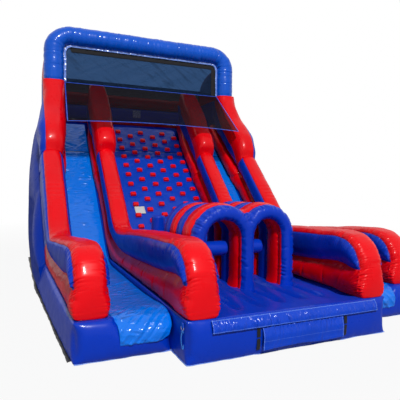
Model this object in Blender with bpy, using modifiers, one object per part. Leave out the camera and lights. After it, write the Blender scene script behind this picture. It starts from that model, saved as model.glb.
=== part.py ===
"""Inflatable slide: two lanes either side of a climbing wall, a double tunnel and a low front platform.

Metres, +Z up, +Y towards the back. The origin is on the ground under the middle of the overall box.
Every air chamber is a closed solid with its inflated outside shape. Below, y is measured back from the
seam along the foot of the platform's front, and FRONT_Y moves it into the model's frame.
"""

import math

import bmesh
import bpy
from mathutils import Matrix, Vector

GAP = 0.0003  # running gap between neighbouring chambers

# Plan
TOTAL_WIDTH = 4.88
PLATFORM_WIDTH = 2.728
WALL_WIDTH = 0.392
LANE_SETBACK = 0.457
RAMP_SEAM_Y = 3.98  # where the front bases end and the tower base starts
DECK_FRONT_Y = 6.82
FLANK_SEAM_Y = 5.40
BACK_PANEL_Y = 7.50
BACK_DEPTH = 0.36
FRONT_CROWN = 0.035
BACK_CROWN = 0.06
FLANK_FOOT = 0.17  # how far the tower's sides stand out at the ground
FLANK_CROWN = 0.20
LANE_FRONT_CROWN = 0.05
LANE_SIDE_CROWN = 0.02
BACK_COLUMNS = 3
SLEEVE_LENGTH = 0.40
SLEEVE_RADIUS = 0.15
SLEEVE_WALL = 0.006
SLEEVE_CLEARANCE = 0.02  # under the sleeve

# Heights
BASE_HEIGHT = 0.464
LANE_BASE_HEIGHT = 0.44
TOWER_BASE_HEIGHT = 0.30
LANDING_HEIGHT = 0.385
DECK_THICKNESS = 0.30
BED_THICKNESS = 0.30
RAMP_ANGLE = math.radians(45)
LANE_CURVE = 0.80  # radius of the bend at the foot of a lane
BUMPER_DEPTH = 0.36  # of the raised front end of a lane
BUMPER_SLOPE = 0.16
SPILL = 0.05  # how far a cutter runs past what it cuts

# Air spaces of the big chambers
CHAMBER_WALL = 0.008  # stands in for their fabric
PORT_RADIUS = 0.09  # of the openings between them
PORT_SIDES = 12

# Side walls
LOWER_TUBE_ON_RAMP = 0.33
UPPER_TUBE_ON_RAMP = 0.40
HEAD_OVERHANG = 0.032  # how much fatter a wall's head is on each side
HEAD_START = 5.50  # y along the ramp where a wall's fat head begins
HEAD_END = 6.62
FIST_SETBACK = 0.50  # the outer walls' fronts, behind the platform front
FIST_GROOVE_Z = 0.885  # between a wall's two tubes at its front
FIST_TOP_Z = 1.262
OUTER_DROP = 0.06  # how much lower the outer walls' fronts are
OUTER_SPREAD = 0.05  # how far the outer walls widen by the foot of the ramp
OUTER_HEAD_INNER = 1.95

# Arch and its meshes
ARCH_Y = 6.18
ARCH_FOOT_Z = 4.17
ARCH_TOP_Z = 5.43
ARCH_HALF_WIDTH = 2.343
ARCH_TUBE = 0.426
ARCH_CORNER = 0.36
MESH_THICKNESS = 0.008
HEM_Y = 5.04
HEM_Z = 3.147
HEM_HALF_WIDTH = 1.975

# Back wall of the deck
BACK_TOP = 3.45
RAIL_HEIGHTS = {"thin_red": 0.10, "blue": 0.38, "red": 0.32}
BACK_MESH_HEIGHT = 0.35
SIDE_CAP_Z = 4.20  # where the side wall's rear edge starts to round over
SIDE_CAP_HEIGHT = 0.85
SIDE_WALL_X = 2.33  # outer face of the wall at each end of the deck
SIDE_WALL_CLEARANCE = 0.03

# Tunnel
TUNNEL_FRONT_Y = 0.95
TUNNEL_RING_DEPTH = 0.21
TUNNEL_BAND_DEPTH = 0.256
TUNNEL_TUBE = 0.204
TUNNEL_LEG_SHARES = (-0.8107, -0.0710, 0.5905)  # of the platform's half width inside its walls
TUNNEL_ARCH_Z = 1.16
TUNNEL_RISE = 0.442  # of the outside of each arch above its springing
TUNNEL_VALLEY_Z = 1.515
ARM_RADIUS = 0.10
ARM_SHARES = {"left": 0.796, "right": 0.5695}  # of the opening that each arm is in
ARM_Z = 0.99
POST_RADIUS = 0.11
POST_CLEARANCE = 0.042  # from the walls
POST_Y = 2.62
POST_TOP = 1.35

# Climbing holds
HOLD_SIZE = (0.105, 0.075, 0.05)
HOLD_COLUMNS = 7
HOLD_MARGIN = 0.102  # of the outer columns from the wall's edges
HOLD_SPACING_Y = 0.2175
HOLD_TOP_Y = 6.66
HOLD_TAPER = 0.12

# Sewn trim
LINER_THICKNESS = 0.004
LINER_MARGIN = 0.012
LINER_TAB_Z = 0.17
LINER_TAB_EDGES = (1.45, 1.965)
STRIP_LEFT = -1.10
STRIP_RIGHT = 1.164
STRIP_LOW = 0.325
STRIP_HIGH = 0.455
TRIM_THICKNESS = 0.006
HOOK_LEFT = -0.54
HOOK_RIGHT = 0.67
HOOK_WIDTH = 0.045
HOOK_LOW = 0.07
TAB_THICKNESS = 0.004
TAB_WIDTH = 0.05
TAB_HEIGHT = 0.05
TETHER_Y = 0.10
TETHER_Z = 0.38
RING_RADIUS = 0.035
RING_WIRE = 0.004
STRAP_WIDTH = 0.025
STRAP_THICKNESS = 0.003
STRAP_DROP = 0.20

# Worked out from the sizes above
TOTAL_DEPTH = BACK_PANEL_Y + BACK_DEPTH + SLEEVE_LENGTH
FRONT_REACH = FRONT_CROWN + GAP + TRIM_THICKNESS
FRONT_Y = -(TOTAL_DEPTH - FRONT_REACH) / 2
HALF_WIDTH = TOTAL_WIDTH / 2
PLATFORM_HALF = PLATFORM_WIDTH / 2
ARCH_LEG_X = ARCH_HALF_WIDTH - ARCH_TUBE / 2
CLIMB_HALF = PLATFORM_HALF - WALL_WIDTH
LANE_OUTER = HALF_WIDTH - WALL_WIDTH
TUNNEL_LEGS = [share * CLIMB_HALF for share in TUNNEL_LEG_SHARES]
POST_X = CLIMB_HALF - POST_RADIUS - POST_CLEARANCE
HOLD_SPACING_X = (CLIMB_HALF - HOLD_MARGIN) / (HOLD_COLUMNS // 2)
RAMP_RISE = math.tan(RAMP_ANGLE)
RAMP_OFFSET = BASE_HEIGHT - RAMP_SEAM_Y * RAMP_RISE
DECK_Z = DECK_FRONT_Y * RAMP_RISE + RAMP_OFFSET
DECK_UNDER = DECK_Z - DECK_THICKNESS
SIDES = {"left": -1, "right": 1}

# A wall's near and far faces, measured from the middle plane, at y along it
INNER_FACES = (
    (5.10, CLIMB_HALF, PLATFORM_HALF),
    (5.40, CLIMB_HALF - HEAD_OVERHANG, PLATFORM_HALF + HEAD_OVERHANG),
    (6.20, CLIMB_HALF - HEAD_OVERHANG, PLATFORM_HALF + HEAD_OVERHANG),
    (6.52, CLIMB_HALF + HEAD_OVERHANG, PLATFORM_HALF - HEAD_OVERHANG),
)
OUTER_FACES = (
    (0.90, LANE_OUTER, HALF_WIDTH),
    (3.40, LANE_OUTER, HALF_WIDTH + OUTER_SPREAD),
    (5.15, LANE_OUTER, HALF_WIDTH + OUTER_SPREAD + 0.02),
    (5.50, OUTER_HEAD_INNER, HALF_WIDTH + OUTER_SPREAD + 0.01),
    (6.13, ARCH_LEG_X - ARCH_TUBE / 2, ARCH_HALF_WIDTH + 0.01),
)

BLUE = ((0.0, 0.035, 0.46), 0.28)
RED = ((0.78, 0.003, 0.012), 0.28)
AZURE = ((0.0, 0.17, 0.72), 0.25)
BLACK = ((0.012, 0.012, 0.014), 0.7)
STEEL = ((0.6, 0.6, 0.62), 0.3)

for leftover in list(bpy.data.objects):
    bpy.data.objects.remove(leftover)


def new_collection(name, hidden=False):
    group = bpy.data.collections.new(name)
    bpy.context.scene.collection.children.link(group)
    group.hide_render = hidden
    return group


parts = new_collection("inflatable_slide")
cutters = new_collection("cutters", hidden=True)


def material(name, look, metallic=0.0):
    colour, roughness = look
    made = bpy.data.materials.new(name)
    made.use_nodes = True
    shader = made.node_tree.nodes["Principled BSDF"]
    shader.inputs["Base Color"].default_value = (*colour, 1)
    shader.inputs["Roughness"].default_value = roughness
    shader.inputs["Metallic"].default_value = metallic
    return made


def add_object(name, data, look, group=parts, metallic=0.0):
    """An object in its collection, with its own material."""
    obj = bpy.data.objects.new(name, data)
    group.objects.link(obj)
    if group is cutters:
        obj.hide_render = True
        obj.display_type = "WIRE"
    else:
        data.materials.append(material(name, look, metallic))
    return obj


def mesh_object(name, bm, look, group=parts, crease=50):
    """The bmesh as a smooth shaded object, with its normals facing out."""
    bmesh.ops.recalc_face_normals(bm, faces=bm.faces)
    mesh = bpy.data.meshes.new(name)
    bm.to_mesh(mesh)
    bm.free()
    mesh.shade_smooth()
    mesh.set_sharp_from_angle(angle=math.radians(crease))
    return add_object(name, mesh, look, group)


def curve_mesh(curve_object):
    """The evaluated curve as a welded mesh object of the same name, so that it can be cut or joined."""
    graph = bpy.context.evaluated_depsgraph_get()
    mesh = bpy.data.meshes.new_from_object(curve_object.evaluated_get(graph))
    bm = bmesh.new()
    bm.from_mesh(mesh)
    bmesh.ops.remove_doubles(bm, verts=bm.verts, dist=0.00005)
    bm.to_mesh(mesh)
    bm.free()
    name = curve_object.name
    place = curve_object.matrix_world.copy()
    group = curve_object.users_collection[0]
    bpy.data.objects.remove(curve_object)
    made = bpy.data.objects.new(name, mesh)
    made.matrix_world = place
    group.objects.link(made)
    if group is cutters:
        made.hide_render = True
        made.display_type = "WIRE"
    return made


def signed_power(value, power):
    return math.copysign(abs(value) ** power, value)


def ramp_z(y):
    return y * RAMP_RISE + RAMP_OFFSET


def above_ramp(y, height):
    """The point a height square to the ramp above its surface at y."""
    return (y - height * math.sin(RAMP_ANGLE), ramp_z(y) + height * math.cos(RAMP_ANGLE))


def crown_at(v, power):
    return 1 - abs(v) ** power


def lane_splay(y, up):
    """How far a lane's base stands out past the wall: nothing at its front, most at its rear foot."""
    along = (y - LANE_SETBACK) / (RAMP_SEAM_Y - LANE_SETBACK)
    return along * (FLANK_FOOT + (OUTER_SPREAD - FLANK_FOOT) * up)


def flank_bulge(across, up, top_x):
    """How far a flank column stands out past its top: widest low down, so that the sides lean in."""
    round_part = math.sin(math.pi * up) * (1 - up) * crown_at(across, 2)
    return (HALF_WIDTH + FLANK_FOOT - top_x) * (1 - up) + FLANK_CROWN * round_part


def pillow(name, low, high, look, crown=None, power=4, cuts=3, top=None, outward=None, group=parts):
    """A box between two corners whose named faces bulge between their seams.

    crown maps "-x", "+x", "-y", "+y", "-z" and "+z" to a bulge. top, if given, is the height at y.
    outward, if given, is a side's sign and how far that side stands out at (across, y, up).
    """
    crown = crown or {}
    bm = bmesh.new()
    bmesh.ops.create_cube(bm, size=2)
    bmesh.ops.subdivide_edges(bm, edges=bm.edges, cuts=cuts, use_grid_fill=True)
    middle = (Vector(low) + Vector(high)) / 2
    half = (Vector(high) - Vector(low)) / 2
    for vert in bm.verts:
        unit = vert.co.copy()
        place = Vector(middle[i] + half[i] * unit[i] for i in range(3))
        if top:
            share = (unit.z + 1) / 2
            place.z = low[2] + share * (top(place.y) - low[2])
        if outward:
            sign, reach = outward
            out = reach(unit.y, place.y, (unit.z + 1) / 2)
            place.x += sign * out * (sign * unit.x + 1) / 2
        for i, axis in enumerate("xyz"):
            j, k = (i + 1) % 3, (i + 2) % 3
            for sign, mark in ((-1, "-"), (1, "+")):
                if abs(unit[i] - sign) < 1e-6 and mark + axis in crown:
                    bulge = crown[mark + axis] * crown_at(unit[j], power) * crown_at(unit[k], power)
                    place[i] += sign * bulge
        vert.co = place + Vector((0, FRONT_Y, 0))
    return mesh_object(name, bm, look, group)


def cut_away(obj, cutter):
    cut = obj.modifiers.new(cutter.name, "BOOLEAN")
    cut.operation = "DIFFERENCE"
    cut.object = cutter


def chamber(name, low, high, look, top=None, **shape):
    """A pillow with its air space cut out."""
    made = pillow(name, low, high, look, top=top, **shape)
    under = top and (lambda y: top(y) - CHAMBER_WALL / math.cos(RAMP_ANGLE))
    low = [value + CHAMBER_WALL for value in low]
    high = [value - CHAMBER_WALL for value in high]
    cut_away(made, pillow(f"{name}_air", low, high, look, top=under, group=cutters, **shape))
    return made


def inset(outline, distance):
    """The outline with every side moved in."""
    pairs = list(zip(outline, outline[1:] + outline[:1]))
    turn = sum(a[0] * b[1] - b[0] * a[1] for a, b in pairs)
    distance = math.copysign(distance, turn)
    sides = []
    for a, b in pairs:
        length = math.dist(a, b)
        u = ((b[0] - a[0]) / length, (b[1] - a[1]) / length)
        sides.append(((a[0] - distance * u[1], a[1] + distance * u[0]), u))
    points = []
    for (a, u), (b, v) in zip(sides[-1:] + sides[:-1], sides):
        along = ((b[0] - a[0]) * v[1] - (b[1] - a[1]) * v[0]) / (u[0] * v[1] - u[1] * v[0])
        points.append((a[0] + along * u[0], a[1] + along * u[1]))
    return points


def flat_shape(name, outlines, thickness, look, group=parts):
    """Closed outlines in the object's own x and y, the later ones holes in the first, extruded along its z."""
    curve = bpy.data.curves.new(name, "CURVE")
    curve.dimensions = "2D"
    curve.fill_mode = "BOTH"
    curve.extrude = thickness / 2
    for outline in outlines:
        spline = curve.splines.new("POLY")
        spline.points.add(len(outline) - 1)
        for point, (x, y) in zip(spline.points, outline):
            point.co = (x, y, 0, 1)
        spline.use_cyclic_u = True
    return add_object(name, curve, look, group)


def prism(name, outline, x_low, x_high, look, group=parts):
    """An outline of (y, z) points, extruded from x_low to x_high."""
    obj = flat_shape(name, [outline], x_high - x_low, look, group)
    # The curve's own x, y and z become the model's y, z and x.
    obj.matrix_world = Matrix(
        ((0, 0, 1, (x_low + x_high) / 2), (1, 0, 0, FRONT_Y), (0, 1, 0, 0), (0, 0, 0, 1))
    )
    return obj


def hollow_prism(name, outline, x_low, x_high, look):
    """A prism with its air space cut out."""
    made = curve_mesh(prism(name, outline, x_low, x_high, look))
    inside = inset(outline, CHAMBER_WALL)
    air = prism(f"{name}_air", inside, x_low + CHAMBER_WALL, x_high - CHAMBER_WALL, look, cutters)
    cut_away(made, curve_mesh(air))
    return made


def loft(name, rings, look, crease=40):
    """A closed skin over rings with as many points each, capped at both ends."""
    bm = bmesh.new()
    made = [[bm.verts.new((x, y + FRONT_Y, z)) for x, y, z in ring] for ring in rings]
    for ring, after in zip(made, made[1:]):
        for i in range(len(ring)):
            j = (i + 1) % len(ring)
            bm.faces.new((ring[i], ring[j], after[j], after[i]))
    for cap in (made[0], made[-1]):
        bm.faces.new(cap)
    return mesh_object(name, bm, look, crease=crease)


def toward(a, b, share):
    return (a[0] + (b[0] - a[0]) * share, a[1] + (b[1] - a[1]) * share)


def tube_ring(low, high, x, half_width, power, count):
    """A rounded section between two (y, z) points: power 2 is an ellipse, more is squarer."""
    ring = []
    for i in range(count):
        angle = 2 * math.pi * (i + 0.5) / count
        across = signed_power(math.cos(angle), 2 / power)
        y, z = toward(low, high, 0.5 + 0.5 * signed_power(math.sin(angle), 2 / power))
        ring.append((x + half_width * across, y, z))
    return ring


def path_tube(name, points, radius, look, sides=2):
    """A round tube through points, with its ends closed."""
    curve = bpy.data.curves.new(name, "CURVE")
    curve.dimensions = "3D"
    curve.bevel_depth = radius
    curve.bevel_resolution = sides
    curve.use_fill_caps = True
    spline = curve.splines.new("POLY")
    spline.points.add(len(points) - 1)
    for point, place in zip(spline.points, points):
        point.co = (place[0], place[1] + FRONT_Y, place[2], 1)
    return add_object(name, curve, look)


def arc(centre, radius, start, end, steps):
    """Points of an arc in a plane, from start to end in degrees."""
    angles = [math.radians(start + (end - start) * i / steps) for i in range(steps + 1)]
    return [(centre[0] + radius * math.cos(a), centre[1] + radius * math.sin(a)) for a in angles]


# Bases


def lane_profile(lift=0.0):
    """The lane's surface from the curve's start to the deck, lifted square to itself."""
    reach = LANE_CURVE * math.tan(RAMP_ANGLE / 2)
    corner_y = (LANDING_HEIGHT - RAMP_OFFSET) / RAMP_RISE
    centre = (corner_y - reach, LANDING_HEIGHT + LANE_CURVE)
    curve = arc(centre, LANE_CURVE - lift, -90, -90 + math.degrees(RAMP_ANGLE), 6)
    return [*curve, above_ramp(DECK_FRONT_Y - GAP, lift)]


def lane_curve_start():
    return lane_profile()[0][0]


def make_bases():
    chamber(
        "base_centre",
        (-PLATFORM_HALF, 0, 0),
        (PLATFORM_HALF, RAMP_SEAM_Y - GAP, BASE_HEIGHT),
        BLUE,
        crown={"-y": FRONT_CROWN},
        cuts=5,
    )
    start = lane_curve_start()
    bumper = LANE_SETBACK + BUMPER_DEPTH
    dip = [
        (bumper, LANE_BASE_HEIGHT + SPILL),
        (bumper, LANE_BASE_HEIGHT),
        (bumper + BUMPER_SLOPE, LANDING_HEIGHT),
        (start, LANDING_HEIGHT),
        (start, TOWER_BASE_HEIGHT),
        (RAMP_SEAM_Y + SPILL, TOWER_BASE_HEIGHT),
        (RAMP_SEAM_Y + SPILL, LANE_BASE_HEIGHT + SPILL),
    ]
    for side, sign in SIDES.items():
        inner = sign * (PLATFORM_HALF + GAP)
        outer = sign * HALF_WIDTH
        face = "-x" if sign < 0 else "+x"
        base = pillow(
            f"base_lane_{side}",
            (min(inner, outer), LANE_SETBACK, 0),
            (max(inner, outer), RAMP_SEAM_Y - GAP, LANE_BASE_HEIGHT),
            BLUE,
            crown={"-y": LANE_FRONT_CROWN, face: LANE_SIDE_CROWN},
            outward=(sign, lambda across, y, up: lane_splay(y, up)),
        )
        near = sign * (PLATFORM_HALF - SPILL)
        far = sign * LANE_OUTER
        cutter = prism(f"lane_dip_{side}", dip, min(near, far), max(near, far), BLUE, cutters)
        cut_away(base, curve_mesh(cutter))
    chamber(
        "base_rear",
        (-LANE_OUTER + GAP, RAMP_SEAM_Y, 0),
        (LANE_OUTER - GAP, BACK_PANEL_Y - GAP, TOWER_BASE_HEIGHT),
        BLUE,
        cuts=1,
    )


# Ramps


def bed_outline():
    top = lane_profile()
    start = top[0][0] + GAP
    top[0] = (start, LANDING_HEIGHT)
    drop = BED_THICKNESS / math.cos(RAMP_ANGLE)
    floor = TOWER_BASE_HEIGHT + GAP
    under_y = (floor + drop - RAMP_OFFSET) / RAMP_RISE
    return top + [(top[-1][0], top[-1][1] - drop), (under_y, floor), (start, floor)]


def climb_outline():
    drop = BED_THICKNESS / math.cos(RAMP_ANGLE)
    floor = TOWER_BASE_HEIGHT + GAP
    under_y = (floor + drop - RAMP_OFFSET) / RAMP_RISE
    end = DECK_FRONT_Y - GAP
    foot = RAMP_SEAM_Y + GAP
    return [
        (foot, floor),
        (foot, ramp_z(foot)),
        (end, ramp_z(end)),
        (end, ramp_z(end) - drop),
        (under_y, floor),
    ]


def hold_places():
    """Staggered rows of (x, y) on the wall: every second column sits half a row lower."""
    rows = int((HOLD_TOP_Y - RAMP_SEAM_Y - HOLD_SIZE[1]) / HOLD_SPACING_Y)
    middle = HOLD_COLUMNS // 2
    places = []
    for column in range(-middle, middle + 1):
        lower = 0.5 * HOLD_SPACING_Y if column % 2 else 0
        for row in range(rows):
            places.append((column * HOLD_SPACING_X, HOLD_TOP_Y - lower - row * HOLD_SPACING_Y))
    return places


def make_climbing_wall():
    wall = hollow_prism("climbing_wall", climb_outline(), -CLIMB_HALF + GAP, CLIMB_HALF - GAP, BLUE)
    bm = bmesh.new()
    sink = 0.01
    for x, y in hold_places():
        turn = Matrix.Rotation(RAMP_ANGLE, 4, "X")
        size = Matrix.Diagonal((HOLD_SIZE[0], HOLD_SIZE[1], HOLD_SIZE[2] + sink, 1))
        lift = Vector((0, 0, (HOLD_SIZE[2] - sink) / 2))
        place = Matrix.Translation((x, y + FRONT_Y, ramp_z(y))) @ turn @ Matrix.Translation(lift)
        for vert in bmesh.ops.create_cube(bm, size=1)["verts"]:
            taper = 1 - HOLD_TAPER if vert.co.z > 0 else 1
            vert.co = place @ size @ Vector((vert.co.x * taper, vert.co.y * taper, vert.co.z))
    holds = mesh_object("holds", bm, RED, cutters)
    join = wall.modifiers.new("holds", "BOOLEAN")
    join.operation = "UNION"
    join.object = holds


def make_ramps():
    for side, sign in SIDES.items():
        near = sign * (PLATFORM_HALF + GAP)
        far = sign * (LANE_OUTER - GAP)
        prism(f"slide_bed_{side}", bed_outline(), min(near, far), max(near, far), BLUE)
    make_climbing_wall()


def make_liners():
    """Azure sheets over the lanes, each with a tab over its bumper."""
    front = LANE_SETBACK - LANE_FRONT_CROWN - GAP
    lift = 2 * GAP
    bumper = LANE_SETBACK + BUMPER_DEPTH
    start = [
        (front, LINER_TAB_Z),
        (front, LANE_BASE_HEIGHT - 0.07),
        (front + 0.015, LANE_BASE_HEIGHT - 0.006),
        (LANE_SETBACK, LANE_BASE_HEIGHT + LINER_THICKNESS),
        (bumper, LANE_BASE_HEIGHT + lift),
        (bumper + BUMPER_SLOPE + 0.01, LANDING_HEIGHT + lift),
    ]
    points = start + lane_profile(lift)
    tab_rows = 4
    wide = (PLATFORM_HALF + LINER_MARGIN, LANE_OUTER - LINER_MARGIN)
    for side, sign in SIDES.items():
        bm = bmesh.new()
        rows = []
        for i, (y, z) in enumerate(points):
            share = min(max(i - 1, 0) / (tab_rows - 1), 1)
            near, far = (sign * (a + (b - a) * share) for a, b in zip(LINER_TAB_EDGES, wide))
            rows.append([bm.verts.new((x, y + FRONT_Y, z)) for x in sorted((near, far))])
        for a, b in zip(rows, rows[1:]):
            bm.faces.new((a[0], a[1], b[1], b[0]))
        mesh = bpy.data.meshes.new(f"slide_liner_{side}")
        bm.to_mesh(mesh)
        bm.free()
        liner = add_object(f"slide_liner_{side}", mesh, AZURE)
        skin = liner.modifiers.new("thickness", "SOLIDIFY")
        skin.thickness = LINER_THICKNESS
        skin.offset = 1
        skin.use_even_offset = True


# Side walls


def wall_stations(front, base, drop):
    """(floor, groove, crest) points in (y, z) from a wall's front back along the lane and up the ramp."""
    low = base + GAP
    groove = FIST_GROOVE_Z - drop
    crest = FIST_TOP_Z - drop
    flat = [
        ((front + 0.10, low), (front + 0.12, groove), (front + 0.05, crest - 0.24)),
        ((front + 0.28, low), (front + 0.27, groove - 0.013), (front + 0.16, crest - 0.097)),
        ((front + 0.52, low), (front + 0.50, groove - 0.045), (front + 0.37, crest)),
        ((front + 0.92, low), (front + 0.90, groove - 0.088), (front + 0.86, crest - 0.005)),
        ((1.95, low), (1.93, groove - 0.155), (1.90, crest - 0.057)),
        ((2.75, low), (2.68, groove - 0.185), (2.60, crest - 0.12)),
        ((3.40, low), (3.20, groove - 0.185), (3.05, crest - 0.172)),
        ((3.80, low), (3.55, groove - 0.13), (3.38, crest - 0.19)),
    ]
    ramp = []
    for y in (4.16, 4.60, HEAD_START):
        ramp.append(
            (
                above_ramp(y, GAP),
                above_ramp(y, LOWER_TUBE_ON_RAMP),
                above_ramp(y, LOWER_TUBE_ON_RAMP + UPPER_TUBE_ON_RAMP),
            )
        )
    return flat + ramp


def shortened(low, high):
    """The two points drawn together by half a gap each, so that stacked tubes don't touch."""
    length = math.dist(low, high)
    share = 0.5 * GAP / length
    return toward(low, high, share), toward(high, low, share)


def wall_span(faces, y):
    """A wall's near and far faces at y, straight between the given places."""
    if y <= faces[0][0]:
        return faces[0][1:]
    for before, after in zip(faces, faces[1:]):
        if y <= after[0]:
            share = (y - before[0]) / (after[0] - before[0])
            return toward(before[1:], after[1:], share)
    return faces[-1][1:]


def wall_ring(sign, faces, low, high, power, narrow=1.0):
    """One section of a wall's tube between two (y, z) points."""
    low, high = shortened(low, high)
    near, far = wall_span(faces, (low[0] + high[0]) / 2)
    return tube_ring(low, high, sign * (near + far) / 2, narrow * (far - near) / 2, power, 14)


def make_wall(name, sign, faces, front, base, drop):
    """One side wall's lower tube, and its upper tube with the front fist."""
    stations = wall_stations(front, base, drop)
    groove_z = FIST_GROOVE_Z - drop
    foot = (front + 0.005, base + GAP)
    groove = (front + 0.03, groove_z)
    low, high = toward(foot, groove, 0.05), toward(foot, groove, 0.95)
    rings = [
        wall_ring(sign, faces, low, high, 5, 0.88),
        wall_ring(sign, faces, (front + 0.03, base + GAP), (front + 0.05, groove_z), 4),
    ]
    rings += [wall_ring(sign, faces, floor, groove, 3) for floor, groove, crest in stations]
    for y in (6.10, DECK_FRONT_Y - 0.04):
        low, high = above_ramp(y, GAP), above_ramp(y, LOWER_TUBE_ON_RAMP)
        rings.append(wall_ring(sign, faces, low, high, 3))
    loft(f"{name}_lower_tube", rings, RED)

    low = groove_z + 0.002
    rings = [wall_ring(sign, faces, (front + 0.06, low), (front + 0.025, low + 0.043), 3, 0.86)]
    rings += [wall_ring(sign, faces, groove, crest, 2.8) for floor, groove, crest in stations]
    loft(f"{name}_upper_tube", rings, RED)


def make_head(name, sign, faces, tail):
    """The fat head above the upper tube: a knuckle that rises to the deck's height, then a straight run."""
    start = above_ramp(HEAD_START + GAP, LOWER_TUBE_ON_RAMP)
    crest = above_ramp(HEAD_START + GAP, LOWER_TUBE_ON_RAMP + UPPER_TUBE_ON_RAMP)
    steps = [
        (start, crest),
        (above_ramp(5.62, LOWER_TUBE_ON_RAMP), (5.01, 2.74)),
        (above_ramp(5.82, LOWER_TUBE_ON_RAMP), (5.12, 3.01)),
        (above_ramp(6.04, LOWER_TUBE_ON_RAMP), (5.32, 3.25)),
        (above_ramp(6.32, LOWER_TUBE_ON_RAMP), (5.62, 3.57)),
    ]
    rings = [wall_ring(sign, faces, low, high, 3) for low, high in steps + tail]
    loft(f"{name}_head", rings, RED)


def make_walls():
    inner_tail = [
        (above_ramp(HEAD_END, LOWER_TUBE_ON_RAMP), (5.98, 3.93)),
        ((6.60, 3.70), (6.24, 4.16)),
        ((6.64, 3.86), (6.40, 4.20)),
    ]
    foot = ARCH_FOOT_Z - GAP
    outer_tail = [
        (above_ramp(HEAD_END, LOWER_TUBE_ON_RAMP), (5.88, 3.86)),
        ((6.41, 3.80), (5.96, 4.03)),
        ((6.40, foot), (5.96, foot)),
    ]
    for side, sign in SIDES.items():
        inner = f"inner_wall_{side}"
        make_wall(inner, sign, INNER_FACES, 0.0, BASE_HEIGHT, 0.0)
        make_head(inner, sign, INNER_FACES, inner_tail)
        outer = f"outer_wall_{side}"
        make_wall(outer, sign, OUTER_FACES, FIST_SETBACK, LANE_BASE_HEIGHT, OUTER_DROP)
        make_head(outer, sign, OUTER_FACES, outer_tail)


# Tower


def make_tower():
    floor = TOWER_BASE_HEIGHT + GAP
    end = DECK_FRONT_Y - GAP
    back = BACK_PANEL_Y - GAP
    support = [
        (RAMP_SEAM_Y + GAP, floor),
        (RAMP_SEAM_Y + GAP, ramp_z(RAMP_SEAM_Y)),
        (end, ramp_z(end) - GAP),
        (end, DECK_UNDER - GAP),
        (back, DECK_UNDER - GAP),
        (back, floor),
    ]
    for side, sign in SIDES.items():
        near = sign * (CLIMB_HALF + GAP)
        far = sign * (PLATFORM_HALF - GAP)
        hollow_prism(f"inner_support_{side}", support, min(near, far), max(near, far), BLUE)
    chamber(
        "deck",
        (-LANE_OUTER + GAP, DECK_FRONT_Y, DECK_UNDER),
        (LANE_OUTER - GAP, back, DECK_Z),
        BLUE,
        cuts=1,
    )
    columns = (
        (RAMP_SEAM_Y, FLANK_SEAM_Y, HALF_WIDTH, ramp_z),
        (FLANK_SEAM_Y, DECK_FRONT_Y, HALF_WIDTH, ramp_z),
        (DECK_FRONT_Y, BACK_PANEL_Y + BACK_DEPTH, SIDE_WALL_X, lambda y: DECK_Z),
    )
    for side, sign in SIDES.items():
        near = sign * LANE_OUTER
        for number, (front, rear, top_x, top) in enumerate(columns, 1):
            far = sign * top_x
            chamber(
                f"flank_{side}_{number}",
                (min(near, far), front + GAP, 0),
                (max(near, far), rear - GAP, BASE_HEIGHT),
                BLUE,
                cuts=6,
                top=lambda y, top=top: top(y) - GAP,
                outward=(sign, lambda across, y, up, x=top_x: flank_bulge(across, up, x)),
            )
        far = sign * SIDE_WALL_X
        prism(f"side_wall_{side}", side_wall_outline(), min(near, far), max(near, far), RED)


def side_wall_outline():
    """Upright behind the arch, level along the deck, rounded down to the back."""
    front = ARCH_Y + ARCH_TUBE / 2 + SIDE_WALL_CLEARANCE
    rear = BACK_PANEL_Y + BACK_DEPTH
    outline = [
        (rear, DECK_Z + GAP),
        (DECK_FRONT_Y, DECK_Z + GAP),
        above_ramp(DECK_FRONT_Y, LOWER_TUBE_ON_RAMP + GAP),
        (front, above_ramp(DECK_FRONT_Y, LOWER_TUBE_ON_RAMP)[1] + SIDE_WALL_CLEARANCE),
        (front, SIDE_CAP_Z + SIDE_CAP_HEIGHT),
    ]
    for i in range(1, 9):
        angle = math.pi / 2 * i / 8
        y = front + (rear - front) * math.sin(angle) ** (2 / 3)
        z = SIDE_CAP_Z + SIDE_CAP_HEIGHT * max(math.cos(angle), 0) ** (2 / 3)
        outline.append((y, z))
    return outline


def make_back():
    """Upright columns under the deck's back wall, then level tubes and a mesh band between the side walls."""
    low_y = BACK_PANEL_Y
    high_y = BACK_PANEL_Y + BACK_DEPTH - BACK_CROWN
    width = 2 * (LANE_OUTER - GAP)
    step = width / BACK_COLUMNS
    for i in range(BACK_COLUMNS):
        left = -width / 2 + step * i
        chamber(
            f"back_column_{i + 1}",
            (left + GAP, low_y, 0),
            (left + step - GAP, high_y, BACK_TOP),
            BLUE,
            crown={"+y": BACK_CROWN},
            power=2.6,
        )
    z = BACK_TOP
    looks = {"thin_red": RED, "blue": BLUE, "red": RED}
    for rail, height in RAIL_HEIGHTS.items():
        rings = []
        for x in (-width / 2, width / 2):
            low = (0.5 * (low_y + high_y), z + GAP)
            high = (low[0], z + height)
            half = min(0.5 * (high_y - low_y), 0.75 * height)
            ring = tube_ring(low, high, 0, half, 2.6, 12)
            rings.append([(x, low[0] + across, up) for across, y, up in ring])
        loft(f"back_rail_{rail}", rings, looks[rail])
        z += height
    middle = 0.5 * (low_y + high_y)
    panel = [
        (middle - MESH_THICKNESS / 2, z + GAP),
        (middle + MESH_THICKNESS / 2, z + GAP),
        (middle + MESH_THICKNESS / 2, z + BACK_MESH_HEIGHT),
        (middle - MESH_THICKNESS / 2, z + BACK_MESH_HEIGHT),
    ]
    prism("back_mesh", panel, -width / 2, width / 2, BLACK)


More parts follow.
